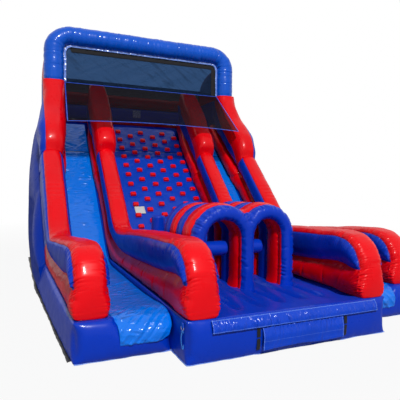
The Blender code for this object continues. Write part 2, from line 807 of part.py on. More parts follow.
def make_sleeves():
    """Open fabric tubes at the back, one a side, where the blowers are tied on."""
    for side, sign in SIDES.items():
        bm = bmesh.new()
        bmesh.ops.create_cone(
            bm,
            segments=16,
            radius1=SLEEVE_RADIUS,
            radius2=SLEEVE_RADIUS,
            depth=SLEEVE_LENGTH,
        )
        middle = BACK_PANEL_Y + BACK_DEPTH + GAP + SLEEVE_LENGTH / 2
        x = sign * (LANE_OUTER + HALF_WIDTH) / 2
        turn = Matrix.Rotation(math.radians(90), 4, "X")
        place = Matrix.Translation((x, middle + FRONT_Y, SLEEVE_RADIUS + SLEEVE_CLEARANCE))
        bmesh.ops.transform(bm, matrix=place @ turn, verts=bm.verts)
        mesh = bpy.data.meshes.new(f"inflation_sleeve_{side}")
        bm.to_mesh(mesh)
        bm.free()
        mesh.shade_smooth()
        sleeve = add_object(f"inflation_sleeve_{side}", mesh, BLUE)
        skin = sleeve.modifiers.new("thickness", "SOLIDIFY")
        skin.thickness = SLEEVE_WALL
        skin.offset = -1


# Ports


def open_port(names, place, axis, radius=PORT_RADIUS):
    """A round opening through the walls in which the named chambers meet."""
    bm = bmesh.new()
    bmesh.ops.create_cone(
        bm, cap_ends=True, segments=PORT_SIDES, radius1=radius, radius2=radius, depth=4 * CHAMBER_WALL
    )
    turn = Matrix() if axis == "Z" else Matrix.Rotation(math.radians(90), 4, "X" if axis == "Y" else "Y")
    x, y, z = place
    bmesh.ops.transform(bm, matrix=Matrix.Translation((x, y + FRONT_Y, z)) @ turn, verts=bm.verts)
    port = mesh_object(f"port_{names[-1]}", bm, BLUE, cutters)
    for name in names:
        cut_away(bpy.data.objects[name], port)


def open_ports():
    """The tower base feeds its neighbours, and each blower sleeve opens into the column before it."""
    middle = TOWER_BASE_HEIGHT / 2
    wall_x = (CLIMB_HALF + PLATFORM_HALF) / 2
    deck_y = (DECK_FRONT_Y + BACK_PANEL_Y) / 2
    foot_y = (RAMP_SEAM_Y + climb_outline()[-1][0]) / 2
    open_port(("base_rear", "base_centre"), (0, RAMP_SEAM_Y, middle), "Y")
    open_port(("base_rear", "climbing_wall"), (0, foot_y, TOWER_BASE_HEIGHT), "Z")
    for i in range(BACK_COLUMNS):
        x = 2 * LANE_OUTER * ((i + 0.5) / BACK_COLUMNS - 0.5)
        open_port(("base_rear", f"back_column_{i + 1}"), (x, BACK_PANEL_Y, middle), "Y")
    for side, sign in SIDES.items():
        support = f"inner_support_{side}"
        open_port(("base_rear", support), (sign * wall_x, deck_y, TOWER_BASE_HEIGHT), "Z")
        open_port((support, "deck"), (sign * wall_x, deck_y, DECK_UNDER), "Z")
        seams = (RAMP_SEAM_Y, FLANK_SEAM_Y, DECK_FRONT_Y, BACK_PANEL_Y)
        for number, (front, rear) in enumerate(zip(seams, seams[1:]), 1):
            place = (sign * LANE_OUTER, (front + rear) / 2, middle)
            open_port(("base_rear", f"flank_{side}_{number}"), place, "X")
        place = (sign * (LANE_OUTER + HALF_WIDTH) / 2, BACK_PANEL_Y + BACK_DEPTH, SLEEVE_RADIUS + SLEEVE_CLEARANCE)
        open_port((f"flank_{side}_3",), place, "Y", SLEEVE_RADIUS - SLEEVE_WALL)


# Arch and meshes


def make_arch():
    radius = ARCH_TUBE / 2
    side = ARCH_HALF_WIDTH - radius
    top = ARCH_TOP_Z - radius
    foot = ARCH_FOOT_Z + GAP
    right = arc((side - ARCH_CORNER, top - ARCH_CORNER), ARCH_CORNER, 0, 90, 6)
    left = [(-x, z) for x, z in reversed(right)]
    route = [(side, foot), *right, *left, (-side, foot)]
    path_tube("arch_frame", [(x, ARCH_Y, z) for x, z in route], radius, BLUE, sides=4)

    inside = side - radius - 2 * GAP
    above = top - radius - 2 * GAP
    corner = ARCH_CORNER - radius + 0.02
    right = arc((inside - corner, above - corner), corner, 0, 90, 4)
    left = [(-x, z) for x, z in reversed(right)]
    outline = [(inside, foot), *right, *left, (-inside, foot)]
    window = flat_shape("window_mesh", [outline], MESH_THICKNESS, BLACK)
    window.location = (0, ARCH_Y + FRONT_Y, 0)
    window.rotation_euler = (math.radians(90), 0, 0)

    slope = math.atan2(foot - HEM_Z, ARCH_Y - HEM_Y)
    length = math.dist((ARCH_Y, foot), (HEM_Y, HEM_Z))
    bm = bmesh.new()
    bmesh.ops.create_cube(bm, size=1)
    for vert in bm.verts:
        upper = vert.co.y > 0
        half = (inside - GAP) if upper else HEM_HALF_WIDTH
        x = math.copysign(half, vert.co.x)
        vert.co = Vector((x, vert.co.y * length, vert.co.z * MESH_THICKNESS))
    turn = Matrix.Rotation(slope, 4, "X")
    place = Matrix.Translation(
        (0, (ARCH_Y + HEM_Y) / 2 + FRONT_Y - MESH_THICKNESS, (foot + HEM_Z) / 2 - MESH_THICKNESS)
    )
    bmesh.ops.transform(bm, matrix=place @ turn, verts=bm.verts)
    mesh_object("entry_mesh", bm, BLACK)


# Tunnel


def half_arch(left, right, grow, steps=8):
    """(x, z) points over an arch from its left foot to its right, grown outwards from the tube's middle."""
    middle, half = (left + right) / 2, (right - left) / 2 + grow
    rise = TUNNEL_RISE - TUNNEL_TUBE / 2 + grow
    points = arc((0, 0), 1, 180, 0, steps)
    return [(middle + half * x, TUNNEL_ARCH_Z + rise * z) for x, z in points]


def tunnel_outline():
    """(x, z) outline of two arches with a shared middle leg, seen from the front."""
    left, middle, right = TUNNEL_LEGS
    half = TUNNEL_TUBE / 2
    foot = BASE_HEIGHT + GAP
    valley = (middle, TUNNEL_VALLEY_Z)
    over = [(left - half, foot)]
    over += [p for p in half_arch(left, middle, half, 12) if p[0] < middle - 0.6 * half]
    over = [p for p in over if p[0] < (left + middle) / 2 or p[1] > TUNNEL_VALLEY_Z]
    over.append(valley)
    other = [p for p in half_arch(middle, right, half, 12) if p[0] > middle + 0.6 * half]
    over += [p for p in other if p[0] > (middle + right) / 2 or p[1] > TUNNEL_VALLEY_Z]
    over.append((right + half, foot))
    under = []
    for a, b in ((right, middle), (middle, left)):
        hole = half_arch(b, a, -half)
        under += [(a - half, foot), *reversed(hole), (b + half, foot)]
    return over + under


def make_tunnel_ring(name, front, depth, look):
    """Two joined arches whose edges are rounded, between front and front + depth."""
    rounding = min(depth, TUNNEL_TUBE) * 0.32
    ring = flat_shape(name, [tunnel_outline()], depth - GAP - 2 * rounding, look)
    ring.data.bevel_depth = rounding
    ring.data.bevel_resolution = 1
    ring.data.offset = -rounding
    ring.location = (0, front + depth / 2 + FRONT_Y, 0)
    ring.rotation_euler = (math.radians(90), 0, 0)


def band_front(number):
    return TUNNEL_FRONT_Y + TUNNEL_RING_DEPTH + (number - 1) * TUNNEL_BAND_DEPTH


def make_tunnel():
    make_tunnel_ring("tunnel_front_ring", TUNNEL_FRONT_Y, TUNNEL_RING_DEPTH, BLUE)
    for number, look in enumerate((RED, BLUE, RED, BLUE), 1):
        make_tunnel_ring(f"tunnel_band_{number}", band_front(number), TUNNEL_BAND_DEPTH, look)
    arm_y = band_front(1) + TUNNEL_BAND_DEPTH / 2
    for (side, share), leg_x, next_x in zip(ARM_SHARES.items(), TUNNEL_LEGS, TUNNEL_LEGS[1:]):
        length = share * (next_x - leg_x - TUNNEL_TUBE)
        root = (leg_x + TUNNEL_TUBE / 2 + GAP, arm_y, ARM_Z)
        make_bolster(f"tunnel_arm_{side}", root, ARM_RADIUS, length, "X")
    for side, sign in SIDES.items():
        foot = (sign * POST_X, POST_Y, BASE_HEIGHT + GAP)
        make_bolster(f"popup_post_{side}", foot, POST_RADIUS, POST_TOP - BASE_HEIGHT, "Z")


def make_bolster(name, root, radius, length, axis):
    """A round column with a domed root and a flatter end, its origin on the joint axis in the dome."""
    dome = arc((0, 0), radius, -90, 0, 5)
    end = length - radius
    profile = [(0, -radius), *dome[1:]]
    profile += [(radius, end - 0.03), (radius * 0.94, end - 0.008), (radius * 0.8, end), (0, end)]
    bm = bmesh.new()
    verts = [bm.verts.new((r, 0, z)) for r, z in reversed(profile)]
    for a, b in zip(verts, verts[1:]):
        bm.edges.new((a, b))
    mesh = bpy.data.meshes.new(name)
    bm.to_mesh(mesh)
    bm.free()
    mesh.shade_smooth()
    bolster = add_object(name, mesh, BLUE)
    turn = bolster.modifiers.new("turn", "SCREW")
    turn.steps = 12
    turn.render_steps = 12
    turn.use_merge_vertices = True
    turn.merge_threshold = 0.0001
    turn.use_smooth_shade = True
    place = Vector(root) + Vector((0, FRONT_Y, 0))
    if axis == "X":
        bolster.rotation_euler = (0, math.radians(90), 0)
        place.x += radius
    else:
        place.z += radius
    bolster.location = place


# Trim


def front_crown(x, z):
    """How far the platform's front stands out at x and z."""
    return FRONT_CROWN * crown_at(x / PLATFORM_HALF, 4) * crown_at(2 * z / BASE_HEIGHT - 1, 4)


def plate(name, low, high, look):
    bm = bmesh.new()
    bmesh.ops.create_cube(bm, size=1)
    size = Vector(high) - Vector(low)
    middle = (Vector(low) + Vector(high)) / 2 + Vector((0, FRONT_Y, 0))
    for vert in bm.verts:
        vert.co = Vector(middle[i] + vert.co[i] * size[i] for i in range(3))
    return mesh_object(name, bm, look)


def make_trim():
    face = -FRONT_CROWN - GAP
    plate(
        "front_strip",
        (STRIP_LEFT, face - TRIM_THICKNESS, STRIP_LOW),
        (STRIP_RIGHT, face, STRIP_HIGH),
        BLUE,
    )
    for side, x in (("left", HOOK_LEFT), ("right", HOOK_RIGHT)):
        face = -front_crown(x, BASE_HEIGHT / 2) - GAP
        plate(
            f"hook_strip_{side}",
            (x - HOOK_WIDTH / 2, face - TRIM_THICKNESS / 2, HOOK_LOW),
            (x + HOOK_WIDTH / 2, face, STRIP_LOW - GAP),
            BLACK,
        )
    face = -FRONT_CROWN - GAP
    play = TRIM_THICKNESS
    flap = plate(
        "connector_flap",
        (HOOK_LEFT + HOOK_WIDTH, face - TRIM_THICKNESS, HOOK_LOW),
        (HOOK_RIGHT - HOOK_WIDTH, face, STRIP_LOW - play),
        BLUE,
    )
    hinge = Vector((0, face - TRIM_THICKNESS / 2 + FRONT_Y, STRIP_LOW - play - TRIM_THICKNESS / 2))
    flap.data.transform(Matrix.Translation(-hinge))
    flap.location = hinge


def make_tether():
    """On the platform's left side: a webbing tab, a steel ring that swings in it, and a strap loop."""
    side_x = -PLATFORM_HALF - GAP
    upright = (math.radians(90), 0, 0)
    hole = RING_WIRE + 2 * GAP
    eye = hole + TAB_THICKNESS
    meet = math.degrees(math.acos((eye - TAB_THICKNESS) / eye))
    around = arc((-eye, 0), eye, 0, meet - 360, 14)
    tab = flat_shape(
        "tether_tab",
        [[(0, TAB_HEIGHT), *around, (-TAB_THICKNESS, TAB_HEIGHT)], arc((-eye, 0), hole, 0, 330, 11)],
        TAB_WIDTH,
        BLUE,
    )
    tab.location = (side_x, TETHER_Y + FRONT_Y, TETHER_Z)
    tab.rotation_euler = upright

    axis = Vector((side_x - eye, TETHER_Y + FRONT_Y, TETHER_Z))
    curve = bpy.data.curves.new("tether_ring", "CURVE")
    curve.dimensions = "3D"
    curve.bevel_depth = RING_WIRE
    curve.bevel_resolution = 1
    bow = arc((0, 0), RING_RADIUS, 180, 360, 12)
    spline = curve.splines.new("POLY")
    spline.points.add(len(bow) - 1)
    for point, (y, z) in zip(spline.points, bow):
        point.co = (0, y, z, 1)
    spline.use_cyclic_u = True
    ring = add_object("tether_ring", curve, STEEL, metallic=1.0)
    ring.location = axis

    half = RING_WIRE + 2 * GAP
    outer = half + STRAP_THICKNESS
    top = -RING_RADIUS + RING_WIRE + 0.003
    low = top - STRAP_DROP
    loop = arc((0, top - half), outer, 180, 0, 8) + arc((0, low + half), outer, 0, -180, 8)
    inner = arc((0, top - half), half, 180, 0, 8) + arc((0, low + half), half, 0, -180, 8)
    strap = flat_shape("tether_strap", [loop, inner], STRAP_WIDTH, AZURE)
    strap.location = axis
    strap.rotation_euler = upright


def main():
    make_bases()
    make_ramps()
    make_liners()
    make_walls()
    make_tower()
    make_back()
    make_sleeves()
    open_ports()
    make_arch()
    make_tunnel()
    make_trim()
    make_tether()


main()
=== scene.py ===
"""Looks of the inflatable slide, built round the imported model.

Metres. Below, y is measured back from the seam along the foot of the platform's front, as in the
part's source, and ROW_Y moves it into the model's frame.
"""

import math

import bmesh
import bpy
import numpy as np
from mathutils import Matrix, Vector


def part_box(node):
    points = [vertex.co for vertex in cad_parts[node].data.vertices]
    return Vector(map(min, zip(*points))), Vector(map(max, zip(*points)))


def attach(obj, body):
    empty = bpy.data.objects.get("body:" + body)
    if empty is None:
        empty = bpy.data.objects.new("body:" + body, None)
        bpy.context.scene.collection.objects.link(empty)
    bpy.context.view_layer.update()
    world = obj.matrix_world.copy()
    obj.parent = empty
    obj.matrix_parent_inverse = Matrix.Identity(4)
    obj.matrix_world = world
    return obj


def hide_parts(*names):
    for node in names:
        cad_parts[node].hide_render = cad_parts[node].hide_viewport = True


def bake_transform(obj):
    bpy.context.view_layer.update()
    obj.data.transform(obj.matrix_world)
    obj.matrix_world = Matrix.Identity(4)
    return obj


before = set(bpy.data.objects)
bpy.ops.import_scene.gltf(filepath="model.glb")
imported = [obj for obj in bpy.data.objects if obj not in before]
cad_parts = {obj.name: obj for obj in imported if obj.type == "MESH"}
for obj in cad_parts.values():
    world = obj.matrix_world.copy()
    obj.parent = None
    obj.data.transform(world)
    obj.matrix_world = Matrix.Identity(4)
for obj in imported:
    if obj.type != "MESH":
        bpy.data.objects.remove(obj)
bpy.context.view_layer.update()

# The part's sizes
GAP = 0.0003
ROW_Y = -4.10935
PLATFORM_HALF = 1.364
WALL_WIDTH = 0.392
HALF_WIDTH = 2.44
CLIMB_HALF = PLATFORM_HALF - WALL_WIDTH
LANE_OUTER = HALF_WIDTH - WALL_WIDTH
LANE_SETBACK = 0.457
RAMP_SEAM_Y = 3.98
DECK_FRONT_Y = 6.82
FLANK_SEAM_Y = 5.40
BACK_PANEL_Y = 7.50
BACK_DEPTH = 0.36
FRONT_CROWN = 0.035
BACK_CROWN = 0.06
FLANK_FOOT = 0.17
FLANK_CROWN = 0.20
LANE_FRONT_CROWN = 0.05
LANE_SIDE_CROWN = 0.02
BASE_HEIGHT = 0.464
LANE_BASE_HEIGHT = 0.44
TOWER_BASE_HEIGHT = 0.30
LANDING_HEIGHT = 0.385
LANE_CURVE = 0.80
BUMPER_DEPTH = 0.36
BUMPER_SLOPE = 0.16
DECK_THICKNESS = 0.30
RAMP_ANGLE = math.radians(45)
RAMP_OFFSET = BASE_HEIGHT - RAMP_SEAM_Y
DECK_Z = DECK_FRONT_Y + RAMP_OFFSET
DECK_UNDER = DECK_Z - DECK_THICKNESS
LOWER_TUBE = 0.33
UPPER_TUBE = 0.40
HEAD_OVERHANG = 0.032
HEAD_START = 5.50
HEAD_END = 6.62
FIST_SETBACK = 0.50
FIST_GROOVE_Z = 0.885
FIST_TOP_Z = 1.262
OUTER_DROP = 0.06
OUTER_SPREAD = 0.05
OUTER_HEAD_INNER = 1.95
ARCH_Y = 6.18
ARCH_FOOT_Z = 4.17
ARCH_TOP_Z = 5.43
ARCH_HALF_WIDTH = 2.343
ARCH_TUBE = 0.426
ARCH_CORNER = 0.36
ARCH_LEG_X = ARCH_HALF_WIDTH - ARCH_TUBE / 2
HEM_Y = 5.04
HEM_Z = 3.147
HEM_HALF_WIDTH = 1.975
BACK_TOP = 3.45
BACK_NET_HEIGHT = 0.35
SIDE_WALL_X = 2.33
SIDE_CAP_Z = 4.20
SIDE_CAP_HEIGHT = 0.85
TUNNEL_FRONT_Y = 0.95
TUNNEL_RING_DEPTH = 0.21
TUNNEL_BAND_DEPTH = 0.256
TUNNEL_TUBE = 0.204
TUNNEL_LEGS = (-0.788, -0.069, 0.574)
TUNNEL_ARCH_Z = 1.16
TUNNEL_RISE = 0.442
ARM_RADIUS = 0.10
ARM_LENGTHS = {"left": 0.41, "right": 0.25}
ARM_Z = 0.99
POST_RADIUS = 0.11
POST_X = 0.82
POST_Y = 2.62
POST_TOP = 1.35
HOLD_SIZE = (0.105, 0.075, 0.05)
HOLD_COLUMNS = 7
HOLD_SPACING_X = 0.29
HOLD_SPACING_Y = 0.2175
HOLD_TOP_Y = 6.66
SLEEVE_LENGTH = 0.40
SLEEVE_RADIUS = 0.15
SIDES = {"left": -1, "right": 1}

# (y, near face, far face) along each wall
INNER_FACES = (
    (5.10, CLIMB_HALF, PLATFORM_HALF),
    (5.40, CLIMB_HALF - HEAD_OVERHANG, PLATFORM_HALF + HEAD_OVERHANG),
    (6.20, CLIMB_HALF - HEAD_OVERHANG, PLATFORM_HALF + HEAD_OVERHANG),
    (6.52, CLIMB_HALF + HEAD_OVERHANG, PLATFORM_HALF - HEAD_OVERHANG),
)
OUTER_FACES = (
    (0.90, LANE_OUTER, HALF_WIDTH),
    (3.40, LANE_OUTER, HALF_WIDTH + OUTER_SPREAD),
    (5.15, LANE_OUTER, HALF_WIDTH + OUTER_SPREAD + 0.02),
    (5.50, OUTER_HEAD_INNER, HALF_WIDTH + OUTER_SPREAD + 0.01),
    (6.13, ARCH_LEG_X - ARCH_TUBE / 2, ARCH_HALF_WIDTH + 0.01),
)

# Sizes of the looks alone
FULLER = 0.02
SLAB_THICKNESS = 0.28
CHANNELS = 7
CHANNEL_REACH = 0.98
CHANNEL_DEPTH = 0.065
CLIMB_CREASE_Y = 6.165
LINER_CREASE_Y = 6.10
TAB_LENGTH = 0.36
LABEL_HALF = (0.11, 0.10)
WALL_LABEL_AT = (-0.515, 4.81)
RAIL_LABEL_AT = (0.13, 3.77)
RAILS = (("thin_red", 0.10), ("blue", 0.38), ("red", 0.32))
BACK_NET_SEAM = 0.045
WELDS = (0.33, 0.62, 1.6, 2.7, 3.8, 4.9)
FOOT_FLARE = {"ring": 0.30, "band_1": 0.42}
FOOT_SINK = 0.055
FOOT_REACH = 0.05
BLOB_Z = 1.40
STRIP_X = (-1.10, 1.164)
STRIP_Z = (0.325, 0.455)
FLAP_X = (-0.495, 0.625)
FLAP_Z = (0.07, 0.317)
TAPE_X = {"left": -0.54, "right": 0.67}
TAPE_WIDTH = 0.045
TAPE_Z = (0.07, 0.322)
SHEET_FOOT = 0.012

RIGHT = np.array((1.0, 0, 0))
UPHILL = np.array((0, math.cos(RAMP_ANGLE), math.sin(RAMP_ANGLE)))
OFF_RAMP = np.array((0, -math.sin(RAMP_ANGLE), math.cos(RAMP_ANGLE)))

BLUE = (0.0, 0.036, 0.48)
RED = (0.82, 0.0, 0.005)
AZURE = (0.0, 0.17, 0.78)
PALE = (0.16, 0.30, 0.78)

# Noise and folds


def lattice(i, j, seed):
    """A fixed number from -1 to 1 for each whole (i, j)."""
    n = np.sin(i * 127.1 + j * 269.5 + seed * 74.7) * 43758.5453
    return 2 * (n - np.floor(n)) - 1


def noise(u, v, seed):
    """Smooth noise from -1 to 1 over (u, v), one hump to a unit."""
    u, v = np.broadcast_arrays(np.asarray(u, float), np.asarray(v, float))
    i, j = np.floor(u), np.floor(v)
    a, b = u - i, v - j
    a, b = a * a * (3 - 2 * a), b * b * (3 - 2 * b)
    low = lattice(i, j, seed) * (1 - a) + lattice(i + 1, j, seed) * a
    high = lattice(i, j + 1, seed) * (1 - a) + lattice(i + 1, j + 1, seed) * a
    return low * (1 - b) + high * b


def step(low, high, value):
    """Eases from 0 at low to 1 at high."""
    t = np.clip((value - low) / (high - low), 0, 1)
    return t * t * (3 - 2 * t)


def bell(value, width):
    """1 at 0, and gone by about two widths away."""
    return np.exp(-((value / width) ** 2))


def crown_at(v, power):
    """1 in the middle and 0 at v = -1 and 1."""
    return 1 - np.abs(v) ** power


def squared(wave, power):
    """A cosine or sine for a section that nears a box as its power grows past 2."""
    return np.sign(wave) * np.abs(wave) ** (2 / power)


def rounded(value, power):
    """Rises from 0 to 1 as a rounded corner does."""
    return (1 - (1 - np.clip(value, 0, 1)) ** power) ** (1 / power)


def puckers(along, away, seed, size=0.05, reach=0.10, depth=0.007):
    """Short folds square to a seam, as heights below the cloth: deepest near the seam, gone at its reach."""
    away = np.abs(away)
    coarse = noise(along / size, away / (2.5 * reach), seed)
    fold = coarse + 0.5 * noise(along * 2.1 / size, away / reach, seed + 7)
    length = reach * (0.75 + 0.5 * noise(along / (0.8 * size), 0.5, seed + 3))
    patch = 0.65 + 0.35 * noise(along / 0.35, 0.5, seed + 5)
    shape = (1 - np.exp(-away / 0.008)) * bell(away, length)
    return -depth * patch * shape * np.clip(0.35 + fold, 0, 1.5)


def dents(a, b, seed, depth=0.002, size=0.18):
    """Slow unevenness of a taut skin."""
    return depth * (noise(a / size, b / size, seed) + 0.5 * noise(2.3 * a / size, 2.3 * b / size, seed + 1))


# Lines


def path_lengths(points):
    """The distance along a line at each of its points."""
    return np.concatenate(([0], np.cumsum(np.linalg.norm(np.diff(points, axis=0), axis=-1))))


def at_lengths(at, lengths, points):
    """The points at some distances along a line, given the distance of each of its own points."""
    return np.stack([np.interp(at, lengths, column) for column in points.T], -1)


def even_line(points, count):
    """count points at even steps along a line, and the distance along it at each."""
    points = np.array(points, float)
    lengths = path_lengths(points)
    at = np.linspace(0, lengths[-1], count)
    return at_lengths(at, lengths, points), at


def left_normals(line):
    """Unit normals on the left of a line in a plane."""
    tangent = np.gradient(line, axis=0)
    tangent /= np.linalg.norm(tangent, axis=1, keepdims=True)
    return np.stack((-tangent[:, 1], tangent[:, 0]), -1)


def offset(line, normal, amount):
    """Both coordinates of points off a line, where amount has a row for each of the line's points."""
    return [line[:, None, c] + normal[:, None, c] * amount for c in (0, 1)]


def smooth_path(keys, spacing):
    """Points along a smooth curve through keys. spacing gives the step at a distance along it."""
    keys = np.asarray(keys, float)
    flat = keys.reshape(len(keys), -1)
    chord = np.concatenate(([0], np.cumsum(np.maximum(np.linalg.norm(np.diff(flat, axis=0), axis=1), 1e-6))))
    slope = np.gradient(flat, chord, axis=0)
    fine = np.linspace(0, chord[-1], 1200)
    k = np.clip(np.searchsorted(chord, fine, side="right") - 1, 0, len(keys) - 2)
    width = (chord[k + 1] - chord[k])[:, None]
    t = ((fine - chord[k])[:, None]) / width
    curve = (
        (2 * t**3 - 3 * t**2 + 1) * flat[k]
        + (t**3 - 2 * t**2 + t) * width * slope[k]
        + (3 * t**2 - 2 * t**3) * flat[k + 1]
        + (t**3 - t**2) * width * slope[k + 1]
    )
    steps = [0.0]
    while steps[-1] < chord[-1]:
        steps.append(steps[-1] + spacing(steps[-1]))
    at = np.array(steps) * chord[-1] / steps[-1]
    return at_lengths(at, fine, curve).reshape(len(at), *keys.shape[1:])


def arc(centre, radius, start, end, steps):
    angles = [math.radians(start + (end - start) * i / steps) for i in range(steps + 1)]
    return [(centre[0] + radius * math.cos(a), centre[1] + radius * math.sin(a)) for a in angles]


def arch_line(half, top, corner, steps):
    """A line in (x, z) up one leg, round both corners and down the other leg, from the arch's foot."""
    foot = ARCH_FOOT_Z + GAP
    right = arc((half - corner, top - corner), corner, 0, 90, steps)
    return [(half, foot), *right, *((-x, z) for x, z in reversed(right)), (-half, foot)]


# Meshes


def stacked(x, y, z):
    return np.stack(np.broadcast_arrays(x, y, z), -1)


def shared_grid(columns, rows, low=-1):
    """Grids that run from low to 1 over the columns and from 0 to 1 over the rows."""
    return np.meshgrid(np.linspace(low, 1, columns), np.linspace(0, 1, rows), indexing="ij")


def build(name, points, faces, marks=None, crease=None, closed=True):
    """A smooth shaded mesh object. marks are numbers kept on its vertices for its materials."""
    mesh = bpy.data.meshes.new(name)
    points = np.asarray(points, float).reshape(-1, 3) + np.array((0, ROW_Y, 0))
    mesh.from_pydata(points.tolist(), [], [list(map(int, face)) for face in faces])
    for mark, values in (marks or {}).items():
        kept = mesh.attributes.new(mark, "FLOAT", "POINT")
        kept.data.foreach_set("value", np.asarray(values, np.float32).ravel())
    if closed:
        bm = bmesh.new()
        bm.from_mesh(mesh)
        bmesh.ops.recalc_face_normals(bm, faces=bm.faces)
        bm.to_mesh(mesh)
        bm.free()
    mesh.shade_smooth()
    if crease:
        mesh.set_sharp_from_angle(angle=math.radians(crease))
    return add_object(name, mesh)


def add_object(name, data):
    obj = bpy.data.objects.new(name, data)
    bpy.context.scene.collection.objects.link(obj)
    return obj


def grid_faces(rows, columns, wrap=False):
    """Quads over a grid of points, its columns joined round if wrap."""
    i, j = np.meshgrid(np.arange(rows - 1), np.arange(columns if wrap else columns - 1), indexing="ij")
    after = (j + 1) % columns
    quads = (i * columns + j, i * columns + after, (i + 1) * columns + after, (i + 1) * columns + j)
    return np.stack(quads, -1).reshape(-1, 4)


def tube_faces(rows, columns):
    """The quads of a closed tube, with one face over each end."""
    faces = grid_faces(rows, columns, wrap=True).tolist()
    faces.append(list(range(columns)))
    faces.append([(rows - 1) * columns + i for i in range(columns)])
    return faces


def grid_normals(points):
    """Unit normals of a tube of points, pointing away from each row's middle."""
    normal = np.cross(np.gradient(points, axis=0), np.roll(points, -1, 1) - np.roll(points, 1, 1))
    normal /= np.maximum(np.linalg.norm(normal, axis=-1, keepdims=True), 1e-9)
    outward = points - points.mean(axis=1, keepdims=True)
    return normal * np.where((normal * outward).sum() < 0, -1, 1)


def box_lattice(nx, ny, nz):
    """Points from -1 to 1 over a box's faces, welded at its edges, and their quads."""
    counts = (nx, ny, nz)
    quads = []
    for axis in range(3):
        j, k = (axis + 1) % 3, (axis + 2) % 3
        a, b = np.meshgrid(np.arange(counts[j]), np.arange(counts[k]), indexing="ij")
        for end in (0, counts[axis]):
            corners = []
            for da, db in ((0, 0), (1, 0), (1, 1), (0, 1)):
                corner = np.empty((*a.shape, 3), int)
                corner[..., axis], corner[..., j], corner[..., k] = end, a + da, b + db
                corners.append(corner)
            quads.append(np.stack(corners, 2).reshape(-1, 4, 3))
    quads = np.concatenate(quads)
    key = (quads[..., 0] * (ny + 1) + quads[..., 1]) * (nz + 1) + quads[..., 2]
    kept, faces = np.unique(key.ravel(), return_inverse=True)
    spots = np.stack((kept // ((ny + 1) * (nz + 1)), kept // (nz + 1) % (ny + 1), kept % (nz + 1)), -1)
    return 2 * spots / np.array(counts) - 1, faces.reshape(-1, 4)


# Materials


class Nodes:
    """The node tree of a material or world, with short ways to add to it."""

    def __init__(self, owner):
        owner.use_nodes = True
        self.owner = owner
        self.tree = owner.node_tree

    def put(self, socket, value):
        """Links a socket to another node, or sets its value."""
        if isinstance(value, bpy.types.NodeSocket):
            self.tree.links.new(value, socket)
        elif isinstance(value, tuple) and len(value) < len(socket.default_value):
            socket.default_value = (*value, 1)
        else:
            socket.default_value = value

    def add(self, kind, inputs, out=0, **settings):
        """A new node with its inputs linked or set. Gives back one of its outputs."""
        node = self.tree.nodes.new(kind)
        for key, value in settings.items():
            setattr(node, key, value)
        for key, value in inputs.items():
            self.put(node.inputs[key], value)
        return node.outputs[out]

    def surface(self, inputs, node="Principled BSDF"):
        """Links or sets inputs of the surface shader, or of another node that the tree starts with."""
        for key, value in inputs.items():
            self.put(self.tree.nodes[node].inputs[key], value)

    def maths(self, kind, *values):
        return self.add("ShaderNodeMath", dict(enumerate(values)), operation=kind)

    def mixed(self, share, low, high):
        """A colour that goes from low to high as share goes from 0 to 1."""
        return self.add("ShaderNodeMix", {0: share, 6: low, 7: high}, 2, data_type="RGBA")

    def blended(self, share, low, high, output="Material Output"):
        """Sends a mix of two shaders to the output."""
        both = self.add("ShaderNodeMixShader", {0: share, 1: low, 2: high})
        self.surface({"Surface": both}, output)

    def spread(self, value, start, end, low, high):
        """Goes from low to high as value goes from start to end."""
        inputs = {"Value": value, "From Min": start, "From Max": end, "To Min": low, "To Max": high}
        return self.add("ShaderNodeMapRange", inputs)

    def place(self, stretch=(1, 1, 1), turn=(0, 0, 0), kind="POINT"):
        where = self.add("ShaderNodeTexCoord", {}, "Object")
        inputs = {"Vector": where, "Scale": stretch, "Rotation": turn}
        return self.add("ShaderNodeMapping", inputs, vector_type=kind)

    def noise(self, place, scale, kind="FBM", **inputs):
        inputs = {"Vector": place, "Scale": scale, **inputs}
        return self.add("ShaderNodeTexNoise", inputs, "Fac", noise_type=kind)

    def waves(self, place, scale):
        return self.add("ShaderNodeTexWave", {"Vector": place, "Scale": scale}, "Fac")

    def mark(self, name):
        return self.add("ShaderNodeAttribute", {}, "Fac", attribute_name=name)

    def bumps(self, *layers):
        """Bumps over one another, each a height, a distance and a strength."""
        under = {}
        for height, distance, strength in layers:
            inputs = {"Height": height, "Distance": distance, "Strength": strength, **under}
            under = {"Normal": self.add("ShaderNodeBump", inputs)}
        self.surface(under)

    def seen(self, *more):
        """1 for rays from the camera, straight or through a net, and for the other kinds named."""
        path = self.tree.nodes.new("ShaderNodeLightPath").outputs
        share = path["Is Camera Ray"]
        for ray in ("Is Transmission Ray", *more):
            share = self.maths("MAXIMUM", share, path[ray])
        return share


def material(name):
    return Nodes(bpy.data.materials.new(name))


def tinted(colour, amount):
    """A colour made darker or lighter, in each part at most 1."""
    return tuple(min(amount * c, 1) for c in colour)


